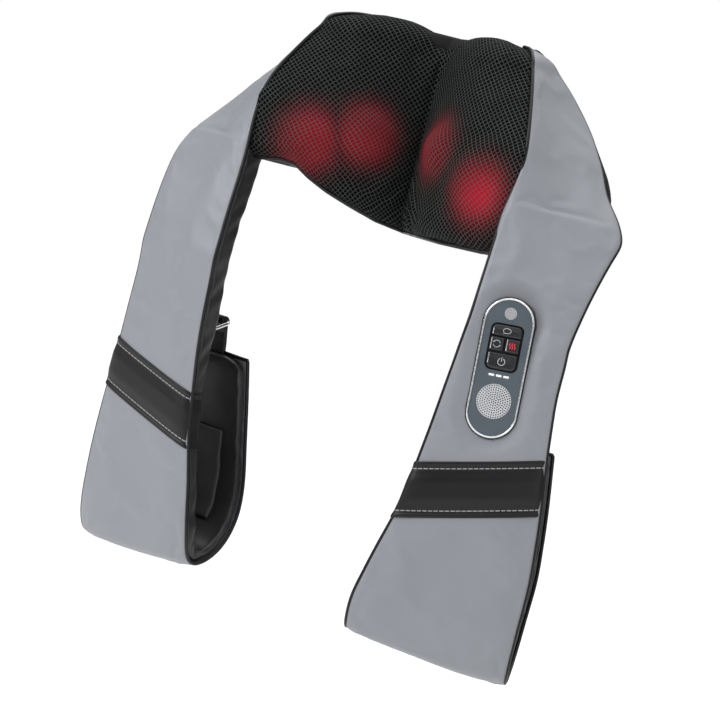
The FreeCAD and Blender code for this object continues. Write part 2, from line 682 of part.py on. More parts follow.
# ---------------------------------------------------------------- middle of the body
def make_bridge():
    """Bent steel plate that ties the two gearcases together behind."""
    frame = drive_frame(1)
    rear = S["case_back"] + 2.2
    thick = S["bridge_thick"]
    tail = frame.multVec(V(-12, rear, 0))
    bend = frame.multVec(V(-S["case_inner"] - 1.0, rear, 0))
    tail_back = frame.multVec(V(-12, rear + thick, 0))
    bend_back = frame.multVec(V(-S["case_inner"] - 0.3, rear + thick, 0))
    right = [(tail.x, tail.y), (tail_back.x, tail_back.y), (bend_back.x, bend_back.y)]
    left = [(-x, y) for x, y in reversed(right)]
    front_edge = [(-bend.x, bend.y), (bend.x, bend.y)]
    points = right + left + front_edge
    body = new_body("chassis_bridge")
    profile = new_sketch(body, "Profile", "XY_Plane", 35.0)
    draw_loop(profile, [line(points[i], points[(i + 1) % len(points)]) for i in range(len(points))])
    pad(body, profile, "Sizes.bridge_high")
    keep(body, "chassis_bridge", FreeCAD.Placement())
    return bend.y


def make_battery(plate_y):
    cells = []
    for x in (-S["cell_rad"] - 0.4, S["cell_rad"] + 0.4):
        at = (x, plate_y - S["cell_rad"] - 0.5, 46.0)
        cells.append(cylinder("cell", "Sizes.cell_rad", "Sizes.cell_long", at))
    keep(group("battery_cells", cells), "battery_cells", FreeCAD.Placement())


def make_main_board(plate_y):
    back = plate_y + S["bridge_thick"]
    board = box("board_plate", "90", "Sizes.board_thick", "62", (-45, back + 3.0, 44.0))
    chip = box("board_chip", "14", "2.2", "14", (-7, back + 3.0 + S["board_thick"], 70.0))
    plug = box("board_plug", "16", "5", "6", (18, back + 3.0 + S["board_thick"], 50.0))
    keep(fuse("main_circuit_board", [board, chip, plug]), "main_circuit_board", FreeCAD.Placement())


def make_jack():
    """Round charging socket in the back: a flanged barrel, and its centre contact."""
    back = level_values(S["jack_up"])[2]
    mouth = back + 1.5
    at = (0, mouth, S["jack_up"])
    barrel = cylinder("jack_barrel", "Sizes.jack_rad", "Sizes.jack_long", at, (0, -1, 0))
    flange = cylinder("jack_flange", "Sizes.jack_rad+2.5", "1.4", at, (0, -1, 0))
    bore = cylinder("jack_hollow", "Sizes.jack_bore", "Sizes.jack_long-2", at, (0, -1, 0))
    shell = cut("jack_shell", fuse("jack_outside", [barrel, flange]), bore)
    root = (0, mouth - S["jack_long"] + 2.0, S["jack_up"])
    contact = cylinder("jack_contact", "Sizes.jack_pin", "Sizes.jack_long-3", root, (0, 1, 0))
    keep(group("charge_jack", [shell, contact]), "charge_jack", FreeCAD.Placement())
    return mouth


# ---------------------------------------------------------------- arms
def arm_outline(side, grow=0.0):
    """The arm's front view, as a prism through the arm: a spline down each edge."""
    long = S["arm_long"] + 10.0
    inner = [(-40.0 - grow, 1.0), (-43.5 - grow, -60.0), (-50.0 - grow, -130.0), (-58.0 - grow, -200.0),
             (-75.0 - grow, -265.0), (-80.0 - grow, -long)]
    outer = [(60.0 + grow, -long), (60.0 + grow, -240.0), (52.0 + grow, -165.0), (43.0 + grow, -85.0),
             (42.5 + grow, -40.0), (45.0 + grow, 1.0)]
    down = spline([(side * u, 0, z) for u, z in inner])
    up = spline([(side * u, 0, z) for u, z in outer])
    foot = Part.makeLine(V(side * inner[-1][0], 0, -long), V(side * outer[0][0], 0, -long))
    top = Part.makeLine(V(side * outer[-1][0], 0, 1.0), V(side * inner[0][0], 0, 1.0))
    face = Part.Face(Part.Wire([down, foot, up, top]))
    face.translate(V(0, -40, 0))
    return face.extrude(V(0, 160, 0))


# The arm's outer face in side view, as (depth, height): down the front, round the fold and up the
# return leg to its free end.
OUTSIDE = [(-12.0, -0.8), (-12.0, -60.0), (-12.0, -115.0), (-10.0, -160.0), (-9.0, -220.0),
           (-8.0, -290.0), (2.0, -321.0), (26.0, -319.0), (56.0, -280.0), (69.0, -230.0),
           (66.0, -175.0), (54.0, -132.0)]


def ribbon(near, far):
    """A strip that follows the arm's outer face, between two depths under it.

    near and far give the depth under the outer face from the share of the way along it.
    """
    curve = Part.BSplineCurve()
    curve.interpolate([V(0, y, z) for y, z in OUTSIDE])
    first = curve.FirstParameter
    span = curve.LastParameter - first
    count = 40
    front = []
    back = []
    for i in range(count + 1):
        share = i / count
        point = curve.value(first + span * share)
        tangent = curve.tangent(first + span * share)[0]
        normal = V(0, -tangent.z, tangent.y)
        front.append(point + normal * near(share))
        back.append(point + normal * far(share))
    a = Part.BSplineCurve()
    a.interpolate(front)
    b = Part.BSplineCurve()
    b.interpolate(list(reversed(back)))
    wire = Part.Wire([a.toShape(), Part.makeLine(front[-1], back[-1]), b.toShape(),
                      Part.makeLine(back[0], front[0])])
    face = Part.Face(wire)
    face.translate(V(-120, 0, 0))
    return face.extrude(V(240, 0, 0))


def arm_depth(share):
    """Thickness of the arm along its own length: thick at the root, thin in the hand loop."""
    if share < 0.17:
        return 24.0
    if share < 0.33:
        return 24.0 - 9.5 * (share - 0.17) / 0.16
    if share < 0.55:
        return 14.5
    return 14.5 - 4.5 * min(1.0, (share - 0.55) / 0.1)


def make_arm(side, word, frame, pocket_shape):
    outline = arm_outline(side)
    cover = 2.0
    lining = 1.6
    shell = ribbon(lambda k: 0.0, lambda k: cover).common(outline)
    liner = ribbon(lambda k: arm_depth(k) - lining, arm_depth).common(outline)
    foam = ribbon(lambda k: cover + 0.05, lambda k: arm_depth(k) - lining - 0.05).common(outline)
    roll = Part.makeCylinder(S["arm_half"], 85, V(-40 if side > 0 else -45, 0, 0), V(1, 0, 0))
    above = Part.makeBox(200, 60, 40, V(-100, -30, -0.8))
    foam = foam.fuse(roll.common(above)).removeSplitter().cut(shell).cut(liner)
    if pocket_shape:
        shell = shell.cut(pocket_shape)
        foam = foam.cut(pocket_shape)
    solid_feature(shell, f"{word}_arm_cover", frame)
    solid_feature(foam, f"{word}_arm_foam", frame)
    solid_feature(liner, f"{word}_arm_liner", frame)


def make_band(side, word, frame):
    """Leather band round the arm's front leg, its outer end raised."""
    grow = S["band_thick"]
    ease = 0.15
    outside = ribbon(lambda k: -grow, lambda k: arm_depth(k) + grow).common(arm_outline(side, grow))
    inside = ribbon(lambda k: -ease, lambda k: arm_depth(k) + ease).common(arm_outline(side, ease))
    strip = prism([(-side * 70, 0, -171), (side * 70, 0, -133), (side * 70, 0, -179), (-side * 70, 0, -222)],
                  (0, 55, 0), (0, -30, 0))
    solid_feature(outside.cut(inside).common(strip), f"{word}_arm_band", frame)


def ring_points():
    """Front and rear bar of the ring, as (depth, height) in the arm's frame."""
    front = (24.0, -112.0)
    rise = math.radians(20)
    rear = (front[0] + S["ring_deep"] * math.cos(rise), front[1] + S["ring_deep"] * math.sin(rise))
    return front, rear


def make_ring_set(side, word, frame):
    front, rear = ring_points()
    middle = -side * 4.0
    half = S["ring_wide"] / 2
    corners = [V(middle - half, *front), V(middle + half, *front), V(middle + half, *rear),
               V(middle - half, *rear)]
    wire_rad = S["ring_wire"]
    shape = None
    for i in range(4):
        a = corners[i]
        b = corners[(i + 1) % 4]
        bar = Part.makeCylinder(wire_rad, (b - a).Length, a, b - a)
        ball = Part.makeSphere(wire_rad, a)
        shape = bar.fuse(ball) if shape is None else shape.fuse([bar, ball])
    solid_feature(shape, f"{word}_loop_ring", frame)

    strap_half = half - 5.0
    at = V(middle - strap_half, *front)
    sleeve = Part.makeCylinder(4.2, 2 * strap_half, at, V(1, 0, 0))
    tail = Part.makeBox(2 * strap_half, front[0] - 12.4, 4.0, V(middle - strap_half, 12.4, front[1] - 2.0))
    bore = Part.makeCylinder(wire_rad + S["fit_gap"], 2 * strap_half, at, V(1, 0, 0))
    solid_feature(sleeve.fuse(tail).cut(bore), f"{word}_ring_strap", frame)

    at = V(middle - strap_half, *rear)
    sleeve = Part.makeCylinder(6.0, 2 * strap_half, at, V(1, 0, 0))
    top_end = OUTSIDE[-1]
    tail = prism([(0, rear[0] - 3, rear[1] - 2), (0, rear[0] + 4, rear[1] - 2),
                  (0, top_end[0] - 1.5, top_end[1] + 0.9), (0, top_end[0] - 8.5, top_end[1] - 1.0)],
                 (2 * strap_half, 0, 0), (middle - strap_half, 0, 0))
    bore = Part.makeCylinder(wire_rad + 2.7, 2 * strap_half, at, V(1, 0, 0))
    solid_feature(sleeve.fuse(tail).cut(bore), f"{word}_loop_tab", frame)


def make_studs(side, word, frame):
    """Two press studs on the arm's inner lining."""
    pieces = []
    for height in (-64.0, -86.0):
        at = (-side * 32.0, S["arm_half"], height)
        pieces.append(cylinder(f"{word}_stud", "Sizes.stud_rad", "2.2", at, (0, 1, 0)))
    keep(group(f"{word}_press_studs", pieces), f"{word}_press_studs", frame)


# ---------------------------------------------------------------- control panel on the right arm
def panel_frame(arm):
    at = V(S["panel_side"], -S["arm_half"], S["panel_down"])
    lean = FreeCAD.Rotation(V(0, 1, 0), -S["panel_tilt"])
    return arm.multiply(FreeCAD.Placement(at, lean))


KEYS = [
    ("voice_button", 0.0, 31.0, 25.0, 9.0),
    ("direction_button", -6.6, 19.5, 11.8, 11.0),
    ("heat_button", 6.6, 19.5, 11.8, 11.0),
    ("power_button", 0.0, 5.5, 25.0, 13.0),
]
SPEAKER_Z = -28.0
MIC_Z = 46.0
LIGHTS_Z = -6.5


def panel_edges(shrink):
    return stadium(0, 0, S["panel_long"] / 2 - shrink, S["panel_rad"] - shrink)


def make_panel(arm):
    frame = panel_frame(arm)
    rise = S["panel_rise"]
    face_front = -rise + 0.5
    face_back = face_front + S["plate_cover"]

    housing = new_body("control_housing")
    outline = new_sketch(housing, "Outline", "XZ_Plane", -face_back)
    draw_loop(outline, panel_edges(0.0))
    pad(housing, outline, "Sizes.tray_deep", True)
    hollow = new_sketch(housing, "Hollow", "XZ_Plane", -face_back)
    draw_loop(hollow, panel_edges(2.0))
    pocket(housing, hollow, "Sizes.tray_deep-2", False)
    keep(housing, "control_housing", frame)

    ring = new_body("panel_trim_ring")
    outline = new_sketch(ring, "Outline", "XZ_Plane", rise)
    draw_loop(outline, panel_edges(0.0))
    draw_loop(outline, panel_edges(1.6))
    pad(ring, outline, "Sizes.plate_cover+0.5", True)
    keep(ring, "panel_trim_ring", frame)

    plate = new_body("face_plate")
    outline = new_sketch(plate, "Outline", "XZ_Plane", -face_front)
    draw_loop(outline, panel_edges(1.75))
    pad(plate, outline, "Sizes.plate_cover", True)
    holes = new_sketch(plate, "Holes", "XZ_Plane", -face_front)
    for name, x, z, wide, high in KEYS:
        draw_rect(holes, f"{x - wide / 2 - 0.3}", f"{z - high / 2 - 0.3}", f"{x + wide / 2 + 0.3}",
                  f"{z + high / 2 + 0.3}")
    draw_circle(holes, 0, SPEAKER_Z, "Sizes.speaker_rad+0.1")
    draw_circle(holes, 0, MIC_Z, "Sizes.mic_rad+0.1")
    for i in (-1, 0, 1):
        draw_rect(holes, f"{i * 6.2 - 2.5}", f"{LIGHTS_Z - 1.1}", f"{i * 6.2 + 2.5}", f"{LIGHTS_Z + 1.1}")
    pocket(plate, holes, "Sizes.plate_cover", False)
    keep(plate, "face_plate", frame)

    for name, x, z, wide, high in KEYS:
        key = new_body(name)
        cap = new_sketch(key, "Cap", "XZ_Plane", -(face_front - S["key_rise"]))
        draw_rect(cap, f"{x - wide / 2}", f"{z - high / 2}", f"{x + wide / 2}", f"{z + high / 2}")
        pad(key, cap, "Sizes.key_rise+Sizes.plate_cover+1", True)
        lip = new_sketch(key, "Lip", "XZ_Plane", -(face_back + 0.3))
        over = 0.55
        draw_rect(lip, f"{x - wide / 2 - over}", f"{z - high / 2 - over}", f"{x + wide / 2 + over}",
                  f"{z + high / 2 + over}")
        pad(key, lip, "0.7", True)
        keep(key, name, frame)

    lights = []
    for i in (-1, 0, 1):
        lights.append(box("light_bar", "4.8", "Sizes.plate_cover+0.2", "2",
                          (i * 6.2 - 2.4, face_front - 0.2, LIGHTS_Z - 1.0)))
    keep(group("indicator_lights", lights), "indicator_lights", frame)

    discs = [grille("speaker_mesh", SPEAKER_Z, "speaker_rad", 4, 1.0, face_front),
             grille("microphone_mesh", MIC_Z, "mic_rad", 2, 0.6, face_front)]
    keep(group("grille_discs", discs), "grille_discs", frame)

    at = (0, face_back + 0.3, SPEAKER_Z)
    basket = cylinder("speaker_basket", "Sizes.speaker_rad", "3", at, (0, 1, 0))
    behind = (0, face_back + 3.3, SPEAKER_Z)
    magnet = cylinder("speaker_magnet", "Sizes.speaker_rad-6", "4", behind, (0, 1, 0))
    keep(fuse("speaker_driver", [basket, magnet]), "speaker_driver", frame)

    board_y = face_back + 8.5
    board = box("key_board", "34", "Sizes.board_thick", "86", (-17, board_y, -43))
    switches = [board]
    for name, x, z, wide, high in KEYS:
        top = face_back + 1.0 + S["key_travel"] + 0.4
        switch = box("key_switch", "6", f"{board_y - top + 0.4}", "6", (x - 3, top, z - 3))
        switches.append(switch)
    keep(fuse("control_board", switches), "control_board", frame)


def grille(name, height, radius, rings, hole, front):
    """A thin disc with rings of round holes."""
    disc = new_body(name)
    outline = new_sketch(disc, "Disc", "XZ_Plane", -(front - 0.3))
    draw_circle(outline, 0, height, f"Sizes.{radius}")
    pad(disc, outline, "0.8", True)
    holes = new_sketch(disc, "Holes", "XZ_Plane", -(front - 0.3))
    step = (S[radius] - 1.4) / (rings + 0.4)
    draw_loop(holes, [Part.Circle(V(0, height, 0), V(0, 0, 1), hole * 0.7)])
    for ring in range(1, rings + 1):
        count = 6 * ring
        for i in range(count):
            angle = 2 * math.pi * i / count
            at = V(ring * step * math.cos(angle), height + ring * step * math.sin(angle), 0)
            draw_loop(holes, [Part.Circle(at, V(0, 0, 1), hole * 0.7)])
    pocket(disc, holes, "0.8", False)
    return disc


def panel_pocket():
    """Room in the arm's cover and foam for the control housing, in the arm's own frame."""
    at = FreeCAD.Placement(V(S["panel_side"], -S["arm_half"], S["panel_down"]),
                           FreeCAD.Rotation(V(0, 1, 0), -S["panel_tilt"]))
    rad = S["panel_rad"] + 0.2
    reach = S["panel_long"] / 2 - S["panel_rad"]
    deep = S["tray_deep"] + 1.0
    shape = Part.makeBox(2 * rad, deep + 10, 2 * reach, V(-rad, -10, -reach))
    for z in (reach, -reach):
        shape = shape.fuse(Part.makeCylinder(rad, deep + 10, V(0, -10, z), V(0, 1, 0)))
    shape.Placement = at
    return shape


# ---------------------------------------------------------------- build everything
make_body_soft_parts()
for side, word in ((1, "right"), (-1, "left")):
    make_gearcase(side, word)
    make_wheel(side, word)
    make_worm_gear(side, word)
    make_worm(side, word)
    make_motor(side, word)
make_bushes()
make_case_screws()
plate_front = make_bridge()
make_battery(plate_front)
make_main_board(plate_front)
jack_mouth = make_jack()

for side, word in ((1, "right"), (-1, "left")):
    arm = arm_frame(side, S[f"lean_{word}"])
    make_arm(side, word, arm, panel_pocket() if side > 0 else None)
    make_band(side, word, arm)
    make_ring_set(side, word, arm)
    make_studs(side, word, arm)
make_panel(arm_frame(1, S["lean_right"]))

# ---------------------------------------------------------------- check and write
doc.recompute()
bad = [o.Name for o in doc.Objects if "Invalid" in o.State or "Error" in o.State]
for obj in SUBPARTS:
    if obj.Shape.isNull() or not obj.Shape.isValid() or obj.Shape.Volume <= 0:
        bad.append(obj.Label)
if bad:
    raise SystemExit(f"failed objects: {bad}")

os.makedirs("parts", exist_ok=True)
for obj in SUBPARTS:
    obj.Shape.exportStep(f"parts/{obj.Label}.step")
print(len(SUBPARTS), "sub-parts; jack mouth at", round(jack_mouth, 2))
for obj in SUBPARTS:
    print(f"{obj.Label:24s} solids {len(obj.Shape.Solids)}  volume {obj.Shape.Volume / 1000:8.2f} cm3")
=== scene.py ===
import math
import bmesh
import bpy
import numpy as np
from mathutils import Matrix, Vector


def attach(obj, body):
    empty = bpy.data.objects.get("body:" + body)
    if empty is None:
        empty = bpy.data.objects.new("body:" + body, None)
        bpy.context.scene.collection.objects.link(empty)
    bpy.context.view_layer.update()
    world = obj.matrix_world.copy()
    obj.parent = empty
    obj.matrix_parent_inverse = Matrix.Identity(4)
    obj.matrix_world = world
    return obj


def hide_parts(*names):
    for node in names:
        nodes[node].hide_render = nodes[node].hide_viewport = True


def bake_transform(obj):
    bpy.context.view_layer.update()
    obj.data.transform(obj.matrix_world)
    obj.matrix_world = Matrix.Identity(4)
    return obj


# The looks of the shiatsu neck massager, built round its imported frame. Points are worked out in
# millimetres in the part's own frame and turned into metres when a mesh is made.

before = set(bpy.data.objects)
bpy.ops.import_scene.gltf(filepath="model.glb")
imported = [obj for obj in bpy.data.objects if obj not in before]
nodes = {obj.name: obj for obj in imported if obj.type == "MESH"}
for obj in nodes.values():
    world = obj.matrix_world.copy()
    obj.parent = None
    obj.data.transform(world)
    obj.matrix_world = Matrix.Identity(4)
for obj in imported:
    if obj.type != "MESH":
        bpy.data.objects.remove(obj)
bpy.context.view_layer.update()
MM = 0.001
SIDES = (("right", 1), ("left", -1))


# ------------------------------------------------------------------ numbers along lines
def smooth(value, low, high):
    """0 below low, 1 above high, with an easy start and end between."""
    part = np.clip((np.asarray(value, float) - low) / (high - low), 0, 1)
    return part * part * (3 - 2 * part)


def unit(vectors):
    vectors = np.asarray(vectors, float)
    return vectors / np.maximum(np.linalg.norm(vectors, axis=-1, keepdims=True), 1e-9)


def through(stations, count):
    """Evenly spread rows on a natural cubic spline through the stations."""
    data = np.array(stations, float)
    number = len(data)
    system = np.eye(number)
    load = np.zeros_like(data)
    for i in range(1, number - 1):
        system[i, i - 1:i + 2] = (1, 4, 1)
        load[i] = 6 * (data[i + 1] - 2 * data[i] + data[i - 1])
    bend = np.linalg.solve(system, load.reshape(number, -1)).reshape(data.shape)
    spot = np.linspace(0, number - 1, count)
    low = np.minimum(spot.astype(int), number - 2)
    after = (spot - low).reshape((count,) + (1,) * (data.ndim - 1))
    before = 1 - after
    line = before * data[low] + after * data[low + 1]
    return line + ((before ** 3 - before) * bend[low] + (after ** 3 - after) * bend[low + 1]) / 6


def run_length(points):
    """How far along its line each point lies."""
    return np.concatenate([[0], np.cumsum(np.linalg.norm(np.diff(points, axis=0), axis=1))])


def sampled(spots, length, points):
    """Points of a line at the given lengths along it."""
    return np.stack([np.interp(spots, length, points[:, k]) for k in range(points.shape[1])], axis=1)


def even(points, count, closed=False):
    """The same line with evenly spaced points."""
    points = np.array(points, float)
    if closed:
        points = np.vstack([points, points[:1]])
    length = run_length(points)
    return sampled(np.linspace(0, length[-1], count, endpoint=not closed), length, points)


def between(first, second, share):
    """Rows of points at each share of the way from the first line to the second."""
    return first * (1 - share)[None, :, None] + second * share[None, :, None]


def squared_circle(turns, power):
    """A circle's two coordinates, pushed out toward a square's."""
    wide, high = np.cos(turns), np.sin(turns)
    return np.sign(wide) * np.abs(wide) ** power, np.sign(high) * np.abs(high) ** power


# ------------------------------------------------------------------ meshes
WELD = 0.001


def placed(name, data):
    """A new object in the scene."""
    made = bpy.data.objects.new(name, data)
    bpy.context.scene.collection.objects.link(made)
    return made


def piece_from(name, points, faces, skin, uv=None):
    """A mesh piece from points in millimetres; uv holds one pair in metres for each face corner."""
    mesh = bpy.data.meshes.new(name)
    mesh.from_pydata((np.asarray(points) * MM).tolist(), [], faces)
    if uv is not None:
        layer = mesh.uv_layers.new(name="UVMap")
        layer.data.foreach_set("uv", (np.asarray(uv, float) * MM).ravel())
    mesh.polygons.foreach_set("use_smooth", [True] * len(mesh.polygons))
    mesh.materials.append(skin)
    return placed(name, mesh)


def grid(name, rows, skin, closed=False, middle=None):
    """A mesh on rows of points. Its map follows the cloth: lengths along the rows and columns."""
    rows = np.asarray(rows, float)
    count, wide = rows.shape[:2]
    ring = np.concatenate([rows, rows[:, :1]], axis=1) if closed else rows
    across = np.concatenate([np.zeros((count, 1)),
                             np.cumsum(np.linalg.norm(np.diff(ring, axis=1), axis=2), axis=1)], axis=1)
    along = np.concatenate([np.zeros((1, ring.shape[1])),
                            np.cumsum(np.linalg.norm(np.diff(ring, axis=0), axis=2), axis=0)], axis=0)
    if middle is not None:
        across -= across[:, middle[1]:middle[1] + 1]
        along -= along[middle[0]:middle[0] + 1, :]
    faces = []
    corners = []
    for i in range(count - 1):
        for j in range(ring.shape[1] - 1):
            k = (j + 1) % wide
            faces.append((i * wide + j, i * wide + k, (i + 1) * wide + k, (i + 1) * wide + j))
            corners += [(i, j), (i, j + 1), (i + 1, j + 1), (i + 1, j)]
    spots = np.array(corners)
    uv = np.stack([across[spots[:, 0], spots[:, 1]], along[spots[:, 0], spots[:, 1]]], axis=1)
    return piece_from(name, rows.reshape(-1, 3), faces, skin, uv)


def tidy_normals(piece, weld=0.0):
    """Joins points that lie together and turns every face outward."""
    work = bmesh.new()
    work.from_mesh(piece.data)
    if weld:
        bmesh.ops.remove_doubles(work, verts=work.verts, dist=weld * MM)
    bmesh.ops.recalc_face_normals(work, faces=work.faces)
    work.to_mesh(piece.data)
    work.free()
    return piece


def evaluated(piece):
    """A new mesh of the piece as its modifiers or curve settings shape it."""
    bpy.context.view_layer.update()
    graph = bpy.context.evaluated_depsgraph_get()
    return bpy.data.meshes.new_from_object(piece.evaluated_get(graph))


def thicken(piece, thick):
    """Gives a sheet its thickness, inward."""
    shell = piece.modifiers.new("Thickness", "SOLIDIFY")
    shell.thickness = thick * MM
    shell.offset = -1
    made = evaluated(piece)
    made.name = piece.name
    piece.modifiers.clear()
    piece.data = made


START_SIDE = (0.31, 0.17, 0.94)


def tube(name, line, radius, skin, sides=12, closed=False):
    """A round tube on a line of points, with domed ends when it is open."""
    line = np.array(line, float)
    radius = np.broadcast_to(np.asarray(radius, float), (len(line),)).copy()
    if closed:
        heading = unit(np.roll(line, -1, axis=0) - np.roll(line, 1, axis=0))
    else:
        heading = unit(np.gradient(line, axis=0))
    first = np.cross(heading[0], START_SIDE)
    normals = [first / np.linalg.norm(first)]
    for i in range(1, len(line)):
        carried = normals[-1] - heading[i] * np.dot(normals[-1], heading[i])
        normals.append(carried / np.linalg.norm(carried))
    normals = np.array(normals)
    if closed:
        back = normals[-1] - heading[0] * np.dot(normals[-1], heading[0])
        back /= np.linalg.norm(back)
        twist = math.atan2(np.dot(np.cross(back, normals[0]), heading[0]), np.dot(back, normals[0]))
        angle = np.linspace(0, twist, len(line))[:, None]
        normals = normals * np.cos(angle) + np.cross(heading, normals) * np.sin(angle)
    else:
        dome = [(1.0, 0.05), (0.75, 0.66), (0.35, 0.94)]
        start = [line[0] - heading[0] * radius[0] * reach for reach, _ in dome]
        end = [line[-1] + heading[-1] * radius[-1] * reach for reach, _ in reversed(dome)]
        line = np.vstack([start, line, end])
        radius = np.concatenate([[radius[0] * r for _, r in dome], radius,
                                 [radius[-1] * r for _, r in reversed(dome)]])
        heading = np.vstack([[heading[0]] * 3, heading, [heading[-1]] * 3])
        normals = np.vstack([[normals[0]] * 3, normals, [normals[-1]] * 3])
    other = np.cross(heading, normals)
    turns = np.linspace(0, 2 * math.pi, sides, endpoint=False)
    rows = (line[:, None] + radius[:, None, None] * (normals[:, None] * np.cos(turns)[None, :, None]
                                                    + other[:, None] * np.sin(turns)[None, :, None]))
    if closed:
        rows = np.concatenate([rows, rows[:1]], axis=0)
    piece = grid(name, rows, skin, closed=True)
    return tidy_normals(piece, WELD) if closed else cap_ends(piece, len(rows), sides)


def cap_ends(piece, count, sides):
    """Closes the two open ends of a tube."""
    work = bmesh.new()
    work.from_mesh(piece.data)
    work.verts.ensure_lookup_table()
    for start in (0, (count - 1) * sides):
        made = work.faces.new([work.verts[start + i] for i in range(sides)])
        made.smooth = True
    bmesh.ops.recalc_face_normals(work, faces=work.faces)
    work.to_mesh(piece.data)
    work.free()
    return piece


def joined(name, pieces):
    """Several pieces as one."""
    work = bmesh.new()
    for piece in pieces:
        work.from_mesh(piece.data)
    mesh = bpy.data.meshes.new(name)
    work.to_mesh(mesh)
    work.free()
    mesh.materials.append(pieces[0].data.materials[0])
    for piece in pieces:
        bpy.data.objects.remove(piece)
    return placed(name, mesh)


def inflate(piece, held, pressure, cap, growth=0.0, frames=20):
    """Blows a cloth piece up as its filling does: cloth simulation, then a limit on each point's move."""
    rest = np.empty(len(piece.data.vertices) * 3)
    piece.data.vertices.foreach_get("co", rest)
    group = piece.vertex_groups.new(name="held")
    group.add([int(i) for i in held], 1.0, "REPLACE")
    cloth = piece.modifiers.new("Cloth", "CLOTH")
    cloth.settings.quality = 6
    cloth.settings.mass = 0.3
    cloth.settings.use_pressure = True
    cloth.settings.uniform_pressure_force = pressure
    cloth.settings.tension_stiffness = 25
    cloth.settings.compression_stiffness = 25
    cloth.settings.shear_stiffness = 10
    cloth.settings.bending_stiffness = 1.5
    cloth.settings.shrink_min = -growth
    cloth.settings.vertex_group_mass = "held"
    cloth.settings.effector_weights.gravity = 0
    cloth.point_cache.frame_start = 1
    cloth.point_cache.frame_end = frames
    scene = bpy.context.scene
    for step in range(1, frames + 1):
        scene.frame_set(step)
    graph = bpy.context.evaluated_depsgraph_get()
    blown = np.empty_like(rest)
    piece.evaluated_get(graph).data.vertices.foreach_get("co", blown)
    move = (blown - rest).reshape(-1, 3)
    reach = np.linalg.norm(move, axis=1, keepdims=True)
    limit = cap * MM
    move *= np.where(reach > 1e-9, limit * np.tanh(reach / limit) / np.maximum(reach, 1e-9), 1)
    piece.modifiers.clear()
    piece.vertex_groups.clear()
    piece.data.vertices.foreach_set("co", rest + move.ravel())
    piece.data.update()
    scene.frame_set(1)


# ------------------------------------------------------------------ what each piece moves with
def ride(piece, body, slot, *replaced):
    """Fixes a piece to its body and hides the CAD nodes that it stands for; its slot is not used."""
    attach(piece, body)
    if replaced:
        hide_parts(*replaced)


def bend_with_arm(piece, word, side, slot, *replaced):
    """Bakes the placement of a piece that runs from the body into an arm into its points, and hides the CAD
    nodes that it stands for.
    """
    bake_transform(piece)
    if replaced:
        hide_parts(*replaced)


# ------------------------------------------------------------------ materials
class Finish:
    """One procedural material, built node by node."""

    def __init__(self, name, colour, rough, metal=0.0):
        self.material = bpy.data.materials.new(name)
        self.material.use_nodes = True
        self.tree = self.material.node_tree
        self.shader = self.tree.nodes["Principled BSDF"]
        self.shader.inputs["Base Color"].default_value = (*colour, 1)
        self.shader.inputs["Roughness"].default_value = rough
        self.shader.inputs["Metallic"].default_value = metal

    def add(self, kind):
        return self.tree.nodes.new(kind)

    def feed(self, socket, value):
        if isinstance(value, (int, float, tuple)):
            socket.default_value = value
        else:
            self.tree.links.new(value, socket)

    def place(self, source="Object", scale=(1, 1, 1), turn=0.0):
        where = self.add("ShaderNodeTexCoord")
        mapping = self.add("ShaderNodeMapping")
        mapping.inputs["Scale"].default_value = scale
        mapping.inputs["Rotation"].default_value = (0, 0, turn)
        self.feed(mapping.inputs["Vector"], where.outputs[source])
        return mapping.outputs[0]

    def math(self, operation, *values):
        made = self.add("ShaderNodeMath")
        made.operation = operation
        for socket, value in zip(made.inputs, values):
            self.feed(socket, value)
        return made.outputs[0]

    def noise(self, where, scale, detail=3.0, rough=0.5):
        made = self.add("ShaderNodeTexNoise")
        made.inputs["Scale"].default_value = scale
        made.inputs["Detail"].default_value = detail
        made.inputs["Roughness"].default_value = rough
        self.feed(made.inputs["Vector"], where)
        return made.outputs["Fac"]

    def cells(self, where, scale, feature="F1"):
        made = self.add("ShaderNodeTexVoronoi")
        made.feature = feature
        made.inputs["Scale"].default_value = scale
        self.feed(made.inputs["Vector"], where)
        return made.outputs["Distance"]

    def spread(self, value, low, high, start, end):
        made = self.add("ShaderNodeMapRange")
        made.interpolation_type = "SMOOTHSTEP"
        for key, number in (("From Min", low), ("From Max", high), ("To Min", start), ("To Max", end)):
            made.inputs[key].default_value = number
        self.feed(made.inputs["Value"], value)
        return made.outputs["Result"]

    def blend(self, factor, first, second):
        made = self.add("ShaderNodeMix")
        made.data_type = "RGBA"
        self.feed(made.inputs[0], factor)
        for socket, value in ((made.inputs[6], first), (made.inputs[7], second)):
            self.feed(socket, (*value, 1) if isinstance(value, tuple) and len(value) == 3 else value)
        return made.outputs[2]

    def colour(self, value):
        self.feed(self.shader.inputs["Base Color"], value)

    def roughness(self, value):
        self.feed(self.shader.inputs["Roughness"], value)

    def bump(self, height, strength, distance):
        made = self.add("ShaderNodeBump")
        made.inputs["Strength"].default_value = strength
        made.inputs["Distance"].default_value = distance * MM
        self.feed(made.inputs["Height"], height)
        self.feed(self.shader.inputs["Normal"], made.outputs[0])

    def sockets(self, **values):
        names = {"sheen": "Sheen Weight", "sheen_rough": "Sheen Roughness", "coat": "Coat Weight",
                 "coat_rough": "Coat Roughness", "specular": "Specular IOR Level"}
        for key, value in values.items():
            self.shader.inputs[names[key]].default_value = value


def shade(colour, by):
    return tuple(min(1.0, c * by) for c in colour)


